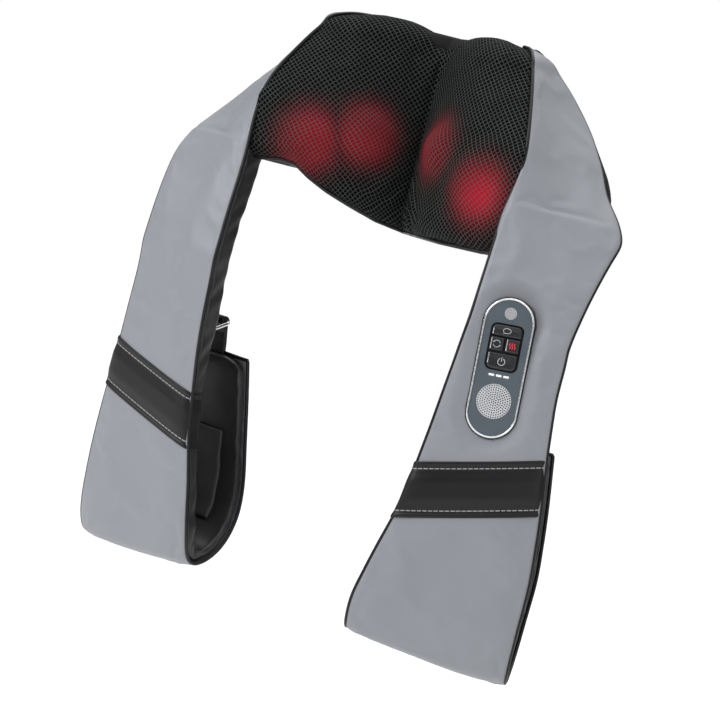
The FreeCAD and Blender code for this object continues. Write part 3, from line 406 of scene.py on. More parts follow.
def leather(name, colour, rough, grain=1.1, depth=0.05, vary=0.07, source="UV", shine=0.42):
    """Leatherette: fine pebbled grain, soft mottling and a worn sheen."""
    skin = Finish(name, colour, rough)
    where = skin.place(source)
    broad = skin.noise(where, 14.0, 4.0)
    fine = skin.noise(where, 260.0, 3.0)
    mixed = skin.math("ADD", skin.math("MULTIPLY", broad, 0.75), skin.math("MULTIPLY", fine, 0.25))
    skin.colour(skin.blend(mixed, shade(colour, 1 - vary), shade(colour, 1 + vary)))
    skin.roughness(skin.spread(broad, 0.3, 0.7, rough - 0.05, rough + 0.06))
    pebbles = skin.cells(where, 1000.0 / grain)
    skin.bump(skin.math("ADD", pebbles, skin.math("MULTIPLY", fine, 0.6)), 0.35, depth)
    skin.sockets(specular=shine)
    return skin.material


def woven(name, colour, rough, pitch=0.9, source="UV", depth=0.1, sheen=0.05, shine=0.2):
    """Plain-woven synthetic cloth: over and under threads, with slight wear."""
    skin = Finish(name, colour, rough)
    where = skin.place(source)
    split = skin.add("ShaderNodeSeparateXYZ")
    skin.feed(split.inputs[0], where)
    turns = math.pi * 1000.0 / pitch
    warp = skin.math("SINE", skin.math("MULTIPLY", split.outputs[0], turns))
    upward = split.outputs[2 if source == "Object" else 1]
    weft = skin.math("SINE", skin.math("MULTIPLY", upward, turns))
    check = skin.math("MULTIPLY", warp, weft)
    worn = skin.noise(where, 30.0, 4.0)
    light = skin.math("ADD", skin.spread(check, -0.6, 0.8, 0.0, 0.6), skin.math("MULTIPLY", worn, 0.4))
    skin.colour(skin.blend(light, shade(colour, 0.6), shade(colour, 1.45)))
    skin.roughness(skin.spread(worn, 0.3, 0.7, rough - 0.06, rough + 0.08))
    skin.bump(check, 0.5, depth)
    skin.sockets(sheen=sheen, sheen_rough=0.5, specular=shine)
    return skin.material


def moulded(name, colour, rough, metal=0.0, texture=0.25, scale=900.0, vary=0.08, coat=0.0, depth=0.03):
    """Moulded plastic or plain metal: a fine surface texture and faint handling marks."""
    skin = Finish(name, colour, rough, metal)
    where = skin.place()
    marks = skin.noise(where, 55.0, 5.0, 0.6)
    fine = skin.noise(where, scale, 2.0)
    skin.colour(skin.blend(marks, shade(colour, 1 - vary), shade(colour, 1 + vary)))
    skin.roughness(skin.spread(marks, 0.3, 0.7, max(0.05, rough - 0.06), rough + 0.06))
    skin.bump(fine, texture, depth)
    skin.sockets(coat=coat, coat_rough=0.12)
    return skin.material


def brushed(name, colour, rough, stretch=(40, 40, 2500)):
    """Metal with fine lines in one direction."""
    skin = Finish(name, colour, rough, 1.0)
    where = skin.place(scale=stretch)
    lines = skin.noise(where, 1.0, 3.0)
    spots = skin.noise(skin.place(), 60.0, 3.0)
    skin.colour(skin.blend(spots, shade(colour, 0.9), shade(colour, 1.06)))
    skin.roughness(skin.spread(lines, 0.25, 0.75, rough - 0.07, rough + 0.1))
    skin.bump(lines, 0.15, 0.02)
    return skin.material


def lamp(name, colour, glow, strength):
    """A lit plastic window with soft cloudiness."""
    skin = Finish(name, colour, 0.35)
    where = skin.place()
    cloud = skin.noise(where, 400.0, 2.0)
    skin.colour(skin.blend(cloud, shade(colour, 0.85), colour))
    skin.shader.inputs["Emission Color"].default_value = (*glow, 1)
    skin.feed(skin.shader.inputs["Emission Strength"], skin.spread(cloud, 0.2, 0.8, strength * 0.8, strength))
    return skin.material


def foam_like(name, colour):
    skin = Finish(name, colour, 0.9)
    where = skin.place()
    pores = skin.cells(where, 900.0)
    skin.colour(skin.blend(pores, shade(colour, 0.7), colour))
    skin.bump(pores, 0.6, 0.3)
    return skin.material


# ------------------------------------------------------------------ where the body's lines run
BODY_LOW = -5.0
CLIMB_END = 62.0
CREASE, BULGE = 91.0, 17.0
SEAM_OUT = 131.0
# how far the lower edge is lifted at each place across the body
CLIMB = ((-240, 32), (-120, 31), (-104, 34), (-90, 33), (-76, 24), (-60, 16), (-42, 9), (-20, 1),
         (0, -3), (60, -4), (110, -3), (130, 3), (240, 4))


def seam_at(height):
    """The seam between mesh and leatherette, right half, as (x, y)."""
    rise = np.maximum(0.0, (height - 80.0) / 94.0)
    return SEAM_OUT - 36.0 * rise ** 1.3, 13.0 + 47.0 * rise ** 1.15


def edge_at(height):
    """The body's outer front edge, right half, as (x, y)."""
    flare = np.clip((height - 30.0) / 144.0, 0, 1)
    back = 12.0 * np.maximum(0.0, (flare - 0.75) / 0.25)
    return 216.0 - 114.0 * flare ** 1.3, 46.0 + 30.0 * np.minimum(1.0, flare / 0.6) ** 0.9 - back


def raised(points):
    """Lifts the lower edge where it climbs toward the left arm."""
    places, lifts = zip(*CLIMB)
    lift = np.interp(points[..., 0], places, lifts)
    points[..., 2] += lift * (1 - smooth(points[..., 2], BODY_LOW, CLIMB_END))
    return points


DRIVE_AT = (65.5, 50.5, 60.0)
DRIVE_TURN = 30
HEAD_OUT, HEAD_UP = 27.3, 9.9


def drive_turn(side):
    """The turn that faces a drive unit inward, toward the neck."""
    angle = math.radians(-side * DRIVE_TURN)
    cos, sin = math.cos(angle), math.sin(angle)
    return np.array([[cos, -sin, 0], [sin, cos, 0], [0, 0, 1]])


def drive_point(side, local):
    return drive_turn(side) @ np.array(local, float) + np.array(DRIVE_AT) * (side, 1, 1)


HEADS = {}
for word, side in SIDES:
    HEADS[word] = [drive_point(side, (-side * HEAD_OUT, 0, HEAD_UP)),
                   drive_point(side, (side * HEAD_OUT, 0, -HEAD_UP))]
# where the red light shows through the mesh, placed up to 14 mm from the heads' middles
# the red glow is painted light: emission in the mesh's own material, where the heads' lamps shine through
PAINTED_GLOWS = {}
PAINTED_GLOWS["right"] = [drive_point(1, (-26.0, 0, 10.0)), drive_point(1, (38.0, 0, -19.0))]
PAINTED_GLOWS["left"] = [drive_point(-1, (21.0, 0, 7.0)), drive_point(-1, (-20.0, 0, -7.0))]


# ------------------------------------------------------------------ where the arms' lines run
def turned(angle, axis):
    return np.array(Matrix.Rotation(math.radians(angle), 3, axis))


ARM_HINGE = np.array([167.0, 12.0, -25.0])
ARM_TOE_OUT = 15
ARM_LEAN = {1: -3.3, -1: 2.9}


def arm_turn(side):
    return turned(side * ARM_TOE_OUT, "Z") @ turned(ARM_LEAN[side], "X")


def arm_hinge(side):
    return ARM_HINGE * (side, 1, 1)


def arm_to_world(side, points):
    """From the arm's own frame, X across, Y through and Z up from the hinge."""
    return np.asarray(points, float) @ arm_turn(side).T + arm_hinge(side)


# the arm's two edges as (height, x), and its outer face in side view as (y, height)
INNER_EDGE = np.array([(-345, -80.0), (-300, -80.0), (-265, -75.0), (-232, -66.5), (-200, -58.0),
                       (-130, -50.0), (-60, -43.5), (1, -40.0)])
OUTER_EDGE = np.array([(-345, 60.0), (-240, 60.0), (-200, 56.5), (-165, 52.0), (-125, 46.5),
                       (-85, 43.0), (-40, 42.5), (1, 45.0)])
OUTSIDE = through([(-12, -0.8), (-12, -30), (-12, -60), (-12, -88), (-12, -115), (-11, -138), (-10, -160),
                   (-9.3, -190), (-9, -220), (-8.6, -255), (-8, -290), (2, -321), (25, -319), (41, -303),
                   (52, -281), (59, -256), (62, -230), (62, -203), (60, -175), (53, -134)], 400)
OUTSIDE = even(OUTSIDE, 400)


def inner_edge(height, side=1):
    wider = 8.0 * smooth(height, -170, 0) if side < 0 else 0.0
    return np.interp(height, INNER_EDGE[:, 0], INNER_EDGE[:, 1]) - wider


def outer_edge(height):
    return np.interp(height, OUTER_EDGE[:, 0], OUTER_EDGE[:, 1])


def arm_depth(share):
    share = np.asarray(share, float)
    return 24.0 - 9.5 * smooth(share, 0.17, 0.33) - 4.5 * smooth(share, 0.55, 0.68)


def outside_at(share):
    """A point of the arm's outer face in side view, and the direction into the arm."""
    spot = np.asarray(share, float) * (len(OUTSIDE) - 1)
    index = np.arange(len(OUTSIDE))
    slope = unit(np.gradient(OUTSIDE, axis=0))
    at = np.stack([np.interp(spot, index, OUTSIDE[:, k]) for k in (0, 1)], axis=-1)
    way = unit(np.stack([np.interp(spot, index, slope[:, k]) for k in (0, 1)], axis=-1))
    return at, np.stack([-way[..., 1], way[..., 0]], axis=-1)


def arm_station(side, share):
    """Four corners of the arm's section: inner front, outer front, outer back, inner back."""
    at, inward = outside_at(share)
    depth = arm_depth(share)
    low = inner_edge(at[1], side)
    high = outer_edge(at[1])
    foot = smooth(-at[1], 262, 318)
    lift = 7.0 * foot
    drop = 3.0 * foot
    back = at + inward * depth
    corners = [(side * low, at[0], at[1] + lift), (side * high, at[0], at[1] - drop),
               (side * high, back[0], back[1] - drop), (side * low, back[0], back[1] + lift)]
    return arm_to_world(side, corners)


def body_station(side, height):
    """The same four corners where the arm's leatherette runs up over the body."""
    x_in, y_in = seam_at(height)
    x_out, y_out = edge_at(height)
    tuck = 5.0 * (1 - smooth(height, 10, 70))
    swell = np.interp(height, (0, 26, 36, 50, 62, 80, 100, 140, 180), (2, 4, 3, -6, -9, -7, -5, -4, -3))
    near = np.interp(height, (0, 30, 60, 150, 172), (4, 6, 9, 9, 4))
    corners = [(x_in - tuck, y_in, height), (x_out + swell, y_out + near, height),
               (x_out - 4, y_out + 26, height), (x_in - 4, y_in + 40, height)]
    return np.array([(side * x, y, z) for x, y, z in corners])


BODY_STEPS = (165.0, 157.0, 146.0, 132.0, 114.0, 96.0, 78.0, 60.0, 43.0, 27.0)
ARM_SHARES = np.linspace(0.0, 1.0, 21)
FINE_ROWS = 900
ROWS = 300
FIRST_ARM_ROW = 88


def blurred(rows, reach):
    """The rows averaged along their length, ends kept."""
    taps = np.arange(-3 * reach, 3 * reach + 1)
    weight = np.exp(-0.5 * (taps / reach) ** 2)
    weight /= weight.sum()
    first = 2 * rows[:1] - rows[1:3 * reach + 1][::-1]
    last = 2 * rows[-1:] - rows[-3 * reach - 1:-1][::-1]
    long = np.concatenate([first, rows, last])
    return sum(w * long[i:i + len(rows)] for i, w in enumerate(weight))


def eased(rows, side):
    """Lets the leatherette run in one sweep from the body into the arm."""
    index = np.arange(ROWS)
    start, end = FIRST_ARM_ROW - 30, FIRST_ARM_ROW + 12
    near = smooth(index, start - 25, start) * (1 - smooth(index, end, end + 30))
    deep = blurred(rows, 12)
    light = blurred(rows, 2 if side > 0 else 7)
    made = rows.copy()
    made[..., 1] += (deep - rows)[..., 1] * near[:, None]
    made[..., 0] += (light - rows)[..., 0] * near[:, None]
    made[..., 2] += (light - rows)[..., 2] * near[:, None]
    return made


def arm_corners(side):
    """Every row's four corners, from the body's top to the end of the loop's return leg."""
    tip = np.array([(77, 84, 174), (78, 87, 172.5), (77, 90, 164), (76, 87, 164)]) * (side, 1, 1)
    turn = np.array([(89, 71, 171.5), (92, 76, 168), (89, 82, 160), (86, 79, 160)]) * (side, 1, 1)
    stations = [tip, turn] + [body_station(side, h) for h in BODY_STEPS]
    middle = 0.5 * (body_station(side, 8.0) + arm_station(side, 0.0) + np.array([0, 0, 12.0]))
    stations.append(0.5 * (stations[-1] + middle))
    stations += [arm_station(side, k) for k in ARM_SHARES[1:]]
    rows = through(stations, FINE_ROWS)
    length = run_length(0.5 * (rows[:, 0] + rows[:, 1]))
    rows = sampled(np.linspace(0, length[-1], ROWS), length, rows.reshape(FINE_ROWS, 12))
    return eased(rows.reshape(ROWS, 4, 3), side)


CORNERS = {word: arm_corners(side) for word, side in SIDES}


def outward(corners):
    """The way the leatherette faces in each row."""
    front = 0.5 * (corners[:, 0] + corners[:, 1])
    facing = front - 0.5 * (corners[:, 2] + corners[:, 3])
    over = unit(corners[:, 1] - corners[:, 0])
    along = unit(np.gradient(front, axis=0))
    facing = facing - over * np.sum(facing * over, axis=1, keepdims=True)
    facing = facing - along * np.sum(facing * along, axis=1, keepdims=True)
    return unit(facing)


# the control panel's middle, and the two ways across its face, in the right arm's frame
PANEL_AT = np.array([-7.0, -12.0, -73.0])
PANEL_TURN = turned(-3.5, "Y")
PANEL_STRAIGHT = 37.5


def panel_to_world(points):
    return arm_to_world(1, np.asarray(points, float) @ PANEL_TURN.T + PANEL_AT)


def panel_distance(world):
    """How far points lie from the control panel's long middle line."""
    local = (world - panel_to_world([(0, 0, 0)])[0]) @ (arm_turn(1) @ PANEL_TURN)
    reach = np.clip(local[..., 2], -PANEL_STRAIGHT, PANEL_STRAIGHT)
    return np.hypot(local[..., 0], local[..., 2] - reach)


# ------------------------------------------------------------------ finishes
# how far each painted glow of red light spreads over the mesh
PAINTED_GLOW_REACH = (23.0, 24.0)


def mesh_fabric(name):
    """Black spacer mesh: a square lattice of thin threads, with the red light of the four heads behind it
    painted on as a glowing emission.
    """
    skin = Finish(name, (0.03, 0.033, 0.031), 0.62)
    where = skin.place("UV", scale=(1000, 1000, 1000), turn=math.radians(45))
    split = skin.add("ShaderNodeSeparateXYZ")
    skin.feed(split.inputs[0], where)
    threads = []
    for axis in (0, 1):
        wave = skin.math("PINGPONG", split.outputs[axis], 1.8)
        threads.append(skin.spread(wave, 1.25, 1.55, 0.0, 1.0))
    lattice = skin.math("MAXIMUM", *threads)
    glow = None
    for word, spots in PAINTED_GLOWS.items():
        turning = skin.add("ShaderNodeTexCoord")
        turning.object = nodes[f"{word}_massage_wheel"]
        for spot, reach in zip(spots, PAINTED_GLOW_REACH):
            gap = skin.add("ShaderNodeVectorMath")
            gap.operation = "DISTANCE"
            skin.feed(gap.inputs[0], turning.outputs["Object"])
            gap.inputs[1].default_value = Vector(spot) * MM
            near = skin.math("DIVIDE", gap.outputs["Value"], reach * MM)
            one = skin.math("EXPONENT", skin.math("MULTIPLY", skin.math("POWER", near, 2.4), -1.0))
            glow = one if glow is None else skin.math("MAXIMUM", glow, one)
    cloud = skin.noise(skin.place(), 60.0, 3.0)
    # painted light: the threads fade into the painted glow where it is strongest
    softened = skin.math("MULTIPLY", lattice, skin.spread(glow, 0.45, 0.95, 1.0, 0.35))
    thread = skin.blend(cloud, (0.024, 0.028, 0.026), (0.046, 0.052, 0.048))
    skin.colour(skin.blend(softened, (0.0012, 0.0016, 0.0019), thread))
    skin.roughness(skin.spread(lattice, 0.0, 1.0, 0.85, 0.55))
    # painted light: the mesh itself glows red, standing in for the heads' light shining through it
    skin.shader.inputs["Emission Color"].default_value = (0.62, 0.014, 0.04, 1)
    strength = skin.math("MULTIPLY", glow, skin.spread(softened, 0.0, 1.0, 0.92, 0.50))
    skin.feed(skin.shader.inputs["Emission Strength"], strength)
    skin.bump(lattice, 0.7, 0.35)
    skin.sockets(specular=0.04)
    return skin.material


MESH = mesh_fabric("black_mesh_fabric")
GREY = leather("grey_leatherette_finish", (0.205, 0.214, 0.235), 0.47, grain=0.9, depth=0.035, vary=0.05)
CLOTH = woven("black_cloth_finish", (0.009, 0.009, 0.010), 0.78, pitch=1.0, source="Object",
              sheen=0.02, shine=0.08)
LINER = woven("black_liner_finish", (0.014, 0.014, 0.015), 0.36, pitch=0.7, depth=0.03, sheen=0.03,
              shine=0.45)
# the loop patch's cloth is painted lighter than the lining: a painted reflection on the return leg's inner
# face
PATCH_WITH_PAINTED_REFLECTION = woven("loop_patch_finish", (0.030, 0.030, 0.033), 0.5, pitch=1.4, depth=0.12, sheen=0.05, shine=0.3)
PIPING = leather("black_piping_finish", (0.005, 0.005, 0.006), 0.36, grain=0.7, depth=0.02,
                 vary=0.25, shine=0.3)
BAND = leather("black_band_finish", (0.007, 0.007, 0.008), 0.40, grain=0.8, depth=0.05, vary=0.25, shine=0.25)
THREAD = woven("stitch_thread_finish", (0.30, 0.30, 0.31), 0.6, pitch=0.25, source="Object", depth=0.05)
SLATE = moulded("slate_plate_finish", (0.062, 0.078, 0.094), 0.38, texture=0.2, coat=0.2)
SILVER = brushed("silver_trim_finish", (0.78, 0.79, 0.81), 0.22)
GLOSS = moulded("black_gloss_finish", (0.003, 0.003, 0.004), 0.24, texture=0.08)
KEY = moulded("black_key_finish", (0.007, 0.008, 0.009), 0.38, texture=0.12)
ICON = moulded("icon_finish", (0.36, 0.37, 0.38), 0.5, texture=0.1)
GRILLE = moulded("grille_metal_finish", (0.52, 0.53, 0.55), 0.36, metal=0.3, texture=0.2, scale=1500.0)
STEEL = brushed("ring_steel_finish", (0.70, 0.70, 0.71), 0.2)
WHITE = lamp("white_light_finish", (0.85, 0.87, 0.9), (0.9, 0.95, 1.0), 0.35)
HEAT = lamp("heat_light_finish", (0.35, 0.02, 0.02), (0.8, 0.03, 0.04), 0.5)

SLOT_SKINS = {
    "case_plastic": moulded("case_plastic_finish", (0.03, 0.03, 0.032), 0.5),
    "black_plastic": moulded("black_plastic_finish", (0.012, 0.012, 0.013), 0.35, coat=0.1),
    "slate_plastic": SLATE,
    "silver_trim": SILVER,
    "ring_steel": STEEL,
    "grille_metal": GRILLE,
    "shaft_steel": brushed("shaft_steel_finish", (0.55, 0.55, 0.56), 0.25),
    "bridge_steel": brushed("bridge_steel_finish", (0.45, 0.46, 0.47), 0.35, (2500, 40, 40)),
    "motor_can": brushed("motor_can_finish", (0.60, 0.61, 0.62), 0.3),
    "bush_bronze": moulded("bush_bronze_finish", (0.42, 0.25, 0.10), 0.4, metal=1.0),
    "gear_plastic": moulded("gear_plastic_finish", (0.70, 0.68, 0.60), 0.45),
    "red_lens": lamp("red_lens_finish", (0.5, 0.02, 0.03), (0.8, 0.03, 0.05), 0.6),
    "board": moulded("board_finish", (0.02, 0.10, 0.04), 0.45, coat=0.2),
    "cell_wrap": moulded("cell_wrap_finish", (0.03, 0.10, 0.30), 0.35, coat=0.2),
    "light_white": WHITE,
    "heat_red": HEAT,
    "foam": foam_like("foam_finish", (0.25, 0.25, 0.26)),
    "black_mesh": MESH,
    "grey_leatherette": GREY,
    "black_cloth": CLOTH,
    "black_liner": LINER,
    "black_band": BAND,
}
for node in nodes.values():
    slots = [slot.material.name.split(".")[0] for slot in node.material_slots if slot.material]
    for index, slot_name in enumerate(slots):
        node.material_slots[index].material = SLOT_SKINS.get(slot_name, SLOT_SKINS["case_plastic"])


# ------------------------------------------------------------------ the mesh-covered lobes
LOBE_MIDDLE = 64


def lobe_rows():
    """Rows of the mesh from its lower binding, up the front and over the top to the rear seam."""
    spread = np.linspace(-1, 1, 2 * LOBE_MIDDLE + 1)
    across = spread * (0.45 + 0.55 * np.abs(spread))
    part = np.abs(across)
    sign = np.sign(across)

    def front(height):
        seam_x, seam_y = seam_at(height)
        chord = math.hypot(seam_x, CREASE - seam_y)
        skew = 1.0 + 0.55 * smooth(height, 70, 125)
        swell = BULGE * np.sin(math.pi * part ** skew) ** 0.85
        soft = np.sqrt(part ** 2 + 0.0009)
        x = seam_x * part - (CREASE - seam_y) / chord * swell
        y = CREASE + (seam_y - CREASE) * soft - seam_x / chord * swell
        return np.stack([sign * x, y, np.full_like(x, height)], axis=1)

    rows = []
    base = front(14.0)
    for turn in np.radians(np.linspace(112, 6, 10)):
        rows.append(base + np.array([0, 11.0 * (1 - math.cos(turn)), -18.0 * math.sin(turn)]))
    for height in np.linspace(14, 152, 62):
        rows.append(front(height))
    base = front(152.0)
    crown = 8.0 + 16.0 * np.sin(math.pi * np.clip(part, 0, 1) ** 0.85) ** 0.8 + 4.0 * part
    rear_x = 100.0 * across
    rear_y = 67.0 + 46.0 * (1 - part ** 1.7)
    last = math.radians(112)
    for turn in np.radians(np.linspace(4, 112, 22)):
        go = (1 - math.cos(turn)) / (1 - math.cos(last))
        row = base.copy()
        row[:, 0] += (rear_x - base[:, 0]) * go
        row[:, 1] += (rear_y - base[:, 1]) * go
        row[:, 2] += crown * math.sin(turn)
        rows.append(row)
    rows = raised(np.array(rows))
    for word, side in SIDES:
        facing = -drive_turn(side)[:, 1]
        for spot in HEADS[word]:
            off = rows - spot
            off = off - facing * (off @ facing)[..., None]
            near = np.exp(-(np.sum(off ** 2, axis=-1) / (2 * 14.0 ** 2)) ** 1.3)
            rows += facing * (9.0 * near)[..., None]
    return rows, across


def add_folds(rows, across):
    """Pulls in the cloth along the folds that run from the foot of the crease."""
    height = rows[..., 2]
    # each as start and end (share across, height), then depth and half width
    folds = [(0.045, 30, 0.20, -2, 2.6, 3.0), (0.08, 46, 0.30, 6, 2.0, 3.4), (0.02, 16, 0.10, -3, 2.2, 2.4),
             (-0.06, 38, -0.24, 2, 1.8, 3.4), (-0.03, 20, -0.12, -2, 1.8, 2.8),
             (0.03, 62, 0.16, 34, 1.5, 3.2)]
    wide = across[None, :] * SEAM_OUT
    for a, z_a, b, z_b, deep, girth in folds:
        start = np.array([a * SEAM_OUT, z_a])
        way = np.array([b * SEAM_OUT, z_b]) - start
        long = np.hypot(*way)
        run = ((wide - start[0]) * way[0] + (height - start[1]) * way[1]) / long ** 2
        side_gap = ((wide - start[0]) * way[1] - (height - start[1]) * way[0]) / long
        side_gap = side_gap + 2.0 * np.sin(run * 5.0)
        fade = smooth(run, -0.25, 0.15) * (1 - smooth(run, 0.8, 1.25))
        valley = np.exp(-(side_gap / girth) ** 2)
        ridge = 0.55 * np.exp(-((np.abs(side_gap) - 2.1 * girth) / girth) ** 2)
        rows[..., 1] += deep * fade * (valley - ridge)
    return rows


lobe_points, lobe_across = lobe_rows()
lobe_points = add_folds(lobe_points, lobe_across)
lobes = grid("mesh_lobes", lobe_points, MESH, middle=(45, LOBE_MIDDLE))
row, column = np.indices(lobe_points.shape[:2])
last_row, last_column = row.max(), column.max()
held = ((row < 2) | (row > last_row - 2) | (column < 7) | (column > last_column - 7)
        | (np.abs(column - LOBE_MIDDLE) < 2))
inflate(lobes, np.flatnonzero(held), 3.0, 4.0, growth=0.012)
thicken(lobes, 1.6)
ride(lobes, "chassis", "black_mesh", "mesh_cover")


# ------------------------------------------------------------------ the black body behind
FRONT_INSET = 4.5


def body_outline(height):
    """The body's plan outline at one height, anticlockwise from above, evenly spaced."""
    seam_x, seam_y = seam_at(height)
    edge_x, edge_y = edge_at(height)
    over = 12.0 * np.clip((height - 158.0) / 16.0, 0, 1) ** 2
    under = 8.0 * np.clip((12.0 - height) / 17.0, 0, 1) ** 2
    extra = over + under
    back = 187.0 - 22.0 * ((height - 85.0) / 92.0) ** 2 - 2.0 * extra - 0.5
    chord = math.hypot(seam_x, CREASE - seam_y)
    part = np.linspace(1, 0, 24)
    swell = 9.0 * np.sin(math.pi * part)
    front_x = seam_x * part - (CREASE - seam_y) / chord * swell
    front_y = CREASE + (seam_y - CREASE) * part - seam_x / chord * swell + extra + FRONT_INSET
    front = np.stack([front_x, front_y], axis=1)
    hide = 7.0 * (1 - smooth(height, 40, 75))
    corner = (edge_x - 5.5 - hide - 0.3 * extra, edge_y + 10.0 + extra)
    rear_corner = (edge_x - 6.0 - hide - 0.3 * extra, edge_y + 22.0)
    shoulder = (0.56 * rear_corner[0], rear_corner[1] + 0.73 * (back - rear_corner[1]))
    rear = through([rear_corner, shoulder, (0, back)], 40)
    front[0] += (-2.0, 1.0)
    right = np.vstack([front[::-1], [corner], rear])
    left = np.stack([-right[::-1, 0], right[::-1, 1]], axis=1)
    loop = np.vstack([right, left[1:-1]])
    return even(loop, 220, closed=True)


def body_rows():
    heights = np.concatenate([[-5.0, -3.0, 0.0, 5.0, 12.0], np.linspace(20, 156, 24),
                              [160.0, 163.0, 166.0, 168.5, 170.5, 172.0]])
    rings = []
    for height in heights:
        loop = body_outline(height)
        rings.append(np.column_stack([loop, np.full(len(loop), height)]))
    rings = np.array(rings)

    def closing(ring, dome):
        """Rows that draw a ring in to the body's middle line."""
        made = []
        spine_x = np.clip(ring[:, 0], -150, 150) * 0.92
        spine_y = np.interp(np.abs(spine_x), (0, 50, 90, 150), (132, 112, 84, 72))
        for share in (0.12, 0.28, 0.46, 0.64, 0.82, 1.0):
            row = ring.copy()
            row[:, 0] += (spine_x - ring[:, 0]) * share
            row[:, 1] += (spine_y - ring[:, 1]) * share
            row[:, 2] += dome * math.sin(share * math.pi / 2)
            made.append(row)
        return made

    top = closing(rings[-1], 3.0)
    low = closing(rings[0], -1.0)
    return raised(np.array(low[::-1] + list(rings) + top))


shell = grid("back_shell", body_rows(), CLOTH, closed=True)
tidy_normals(shell, 0.3)
fronts = [i for i, point in enumerate(shell.data.vertices) if point.co.y < 0.098]
inflate(shell, fronts, 2.0, 1.6, frames=12)
ride(shell, "chassis", "black_cloth", "back_cover", "front_foam", "rear_foam", "side_foams")


# ------------------------------------------------------------------ grey leatherette, body to loop
ROW_LENGTH = 2.6


def crown_profile(part):
    """How far a padded panel stands proud between its seams."""
    return (1 - np.abs(2 * part - 1) ** 3.2) ** 0.62


def leatherette_rows(word):
    corners = CORNERS[word]
    facing = outward(corners)
    part = 0.5 - 0.5 * np.cos(np.linspace(0, math.pi, 41))
    part = 0.45 * part + 0.55 * np.linspace(0, 1, 41)
    height = np.interp(np.arange(ROWS), (0, 30, 70, FIRST_ARM_ROW - 30, FIRST_ARM_ROW + 20, ROWS - 60, ROWS),
                       (0.8, 1.6, 5.5, 7.5, 4.2, 3.0, 2.2))
    calm_in, calm_out = blurred(corners[:, 0], 13), blurred(corners[:, 1], 13)
    index = np.arange(ROWS)
    keep = smooth(index, 20, 45) * (1 - smooth(index, 125, 150))
    calm_in = corners[:, 0] + (calm_in - corners[:, 0]) * keep[:, None]
    calm_out = corners[:, 1] + (calm_out - corners[:, 1]) * keep[:, None]
    rows = between(calm_in[:, None], calm_out[:, None], part)
    rows += (corners[:, 0] - calm_in)[:, None] * ((1 - part) ** 5)[None, :, None]
    rows += (corners[:, 1] - calm_out)[:, None] * (part ** 5)[None, :, None]
    lift = height[:, None] * crown_profile(part)[None, :]
    if word == "right":
        gap = panel_distance(rows)
        lift = lift * (0.12 + 0.88 * smooth(gap, 23.0, 36.0))
    run = index[:, None] * ROW_LENGTH
    slack = np.sin(run / 31.0 + 2.2 * part[None, :]) * np.sin(run / 83.0 + 1.0)
    slack = slack * np.sin(math.pi * part)[None, :]
    if word == "right":
        slack = slack * smooth(gap, 26.0, 50.0)
    return rows + facing[:, None] * (lift + 0.9 * slack)[..., None]


# from the control panel's middle line: leatherette held still, and leatherette cut away
PANEL_HELD, PANEL_OPENING = 27.0, 19.3


def cut_opening(piece, inside):
    """Takes out the leatherette behind the control panel, where its housing sits."""
    work = bmesh.new()
    work.from_mesh(piece.data)
    work.verts.ensure_lookup_table()
    gone = [vert for vert, drop in zip(work.verts, inside) if drop]
    bmesh.ops.delete(work, geom=gone, context="VERTS")
    work.to_mesh(piece.data)
    work.free()


def under_band(side, world):
    """Whether points of the arm lie under its leather band."""
    local = (world - arm_hinge(side)) @ arm_turn(side)
    across = side * local[..., 0] + 70.0
    low = -222.0 + across / 140.0 * 43.0 - 8.0
    high = -171.0 + across / 140.0 * 38.0 + 8.0
    return (local[..., 2] > low) & (local[..., 2] < high) & (local[..., 1] < 10.0)


for word, side in SIDES:
    rows = leatherette_rows(word)
    if side < 0:
        rows = rows[:, ::-1]
    panel = grid(f"{word}_grey_panel", rows, GREY)
    row, column = np.indices(rows.shape[:2])
    held = (row < 2) | (row > row.max() - 2) | (column < 2) | (column > column.max() - 2)
    held = held | under_band(side, rows)
    if side > 0:
        held = held | (panel_distance(rows) < PANEL_HELD)
    inflate(panel, np.flatnonzero(held), 1.2, 2.0, growth=0.006)
    if side > 0:
        cut_opening(panel, panel_distance(rows).ravel() < PANEL_OPENING)
    thicken(panel, 1.8)
    bend_with_arm(panel, word, side, "grey_leatherette", f"{word}_side_cover", f"{word}_arm_cover")


# ------------------------------------------------------------------ black lining, sides and back
def lining_rows(word):
    """Rounded sections that fill the arm behind the leatherette, from the body to the loop's end."""
    corners = CORNERS[word][FIRST_ARM_ROW - 26:]
    count = len(corners)
    p, q = squared_circle(np.linspace(0, 2 * math.pi, 96, endpoint=False), 2.0 / 5.5)
    p = 0.5 + 0.5 * p
    q = 0.5 + 0.5 * q
    q = 0.04 + 0.96 * q
    a, b, c, d = (corners[:, None, k] for k in range(4))
    rows = between(between(a, b, p), between(d, c, p), q)
    middle = rows.mean(axis=1, keepdims=True)
    share = np.linspace(0, 1, count)
    rows += (middle - rows) * 0.012
    # creases: fine gathers where the lining turns at the foot of the loop, slack ripples elsewhere
    normal = unit(rows - middle)
    back = smooth(q, 0.55, 0.95)
    flank = (np.abs(p - 0.5) > 0.46).astype(float)
    spot = share[:, None]
    wave = np.sin(spot * 150 + 5 * np.sin(p * 9.0)[None, :]) * np.sin(p * 21.0 + 2.0)[None, :]
    gather = np.exp(-((spot - 0.60) / 0.05) ** 2)
    slack = 0.8 * np.sin(spot * 47 + 3.0 * p[None, :]) * np.sin(spot * 23.0 + 1.3)
    rows += normal * ((1.9 * gather * wave + slack) * back[None, :])[..., None]
    ripple = np.sin(spot * 170 + 8 * q[None, :]) * np.sin(spot * 31.0) * 0.5
    rows += normal * (ripple * flank[None, :])[..., None]
    # the ends close in
    row = np.arange(count)
    close = np.minimum(1.0, np.minimum((row + 0.3) / 4.0, (count - 0.7 - row) / 4.0))
    squeeze = np.sqrt(1 - (1 - close) ** 2)
    return middle + (rows - middle) * (0.15 + 0.85 * squeeze)[:, None, None]


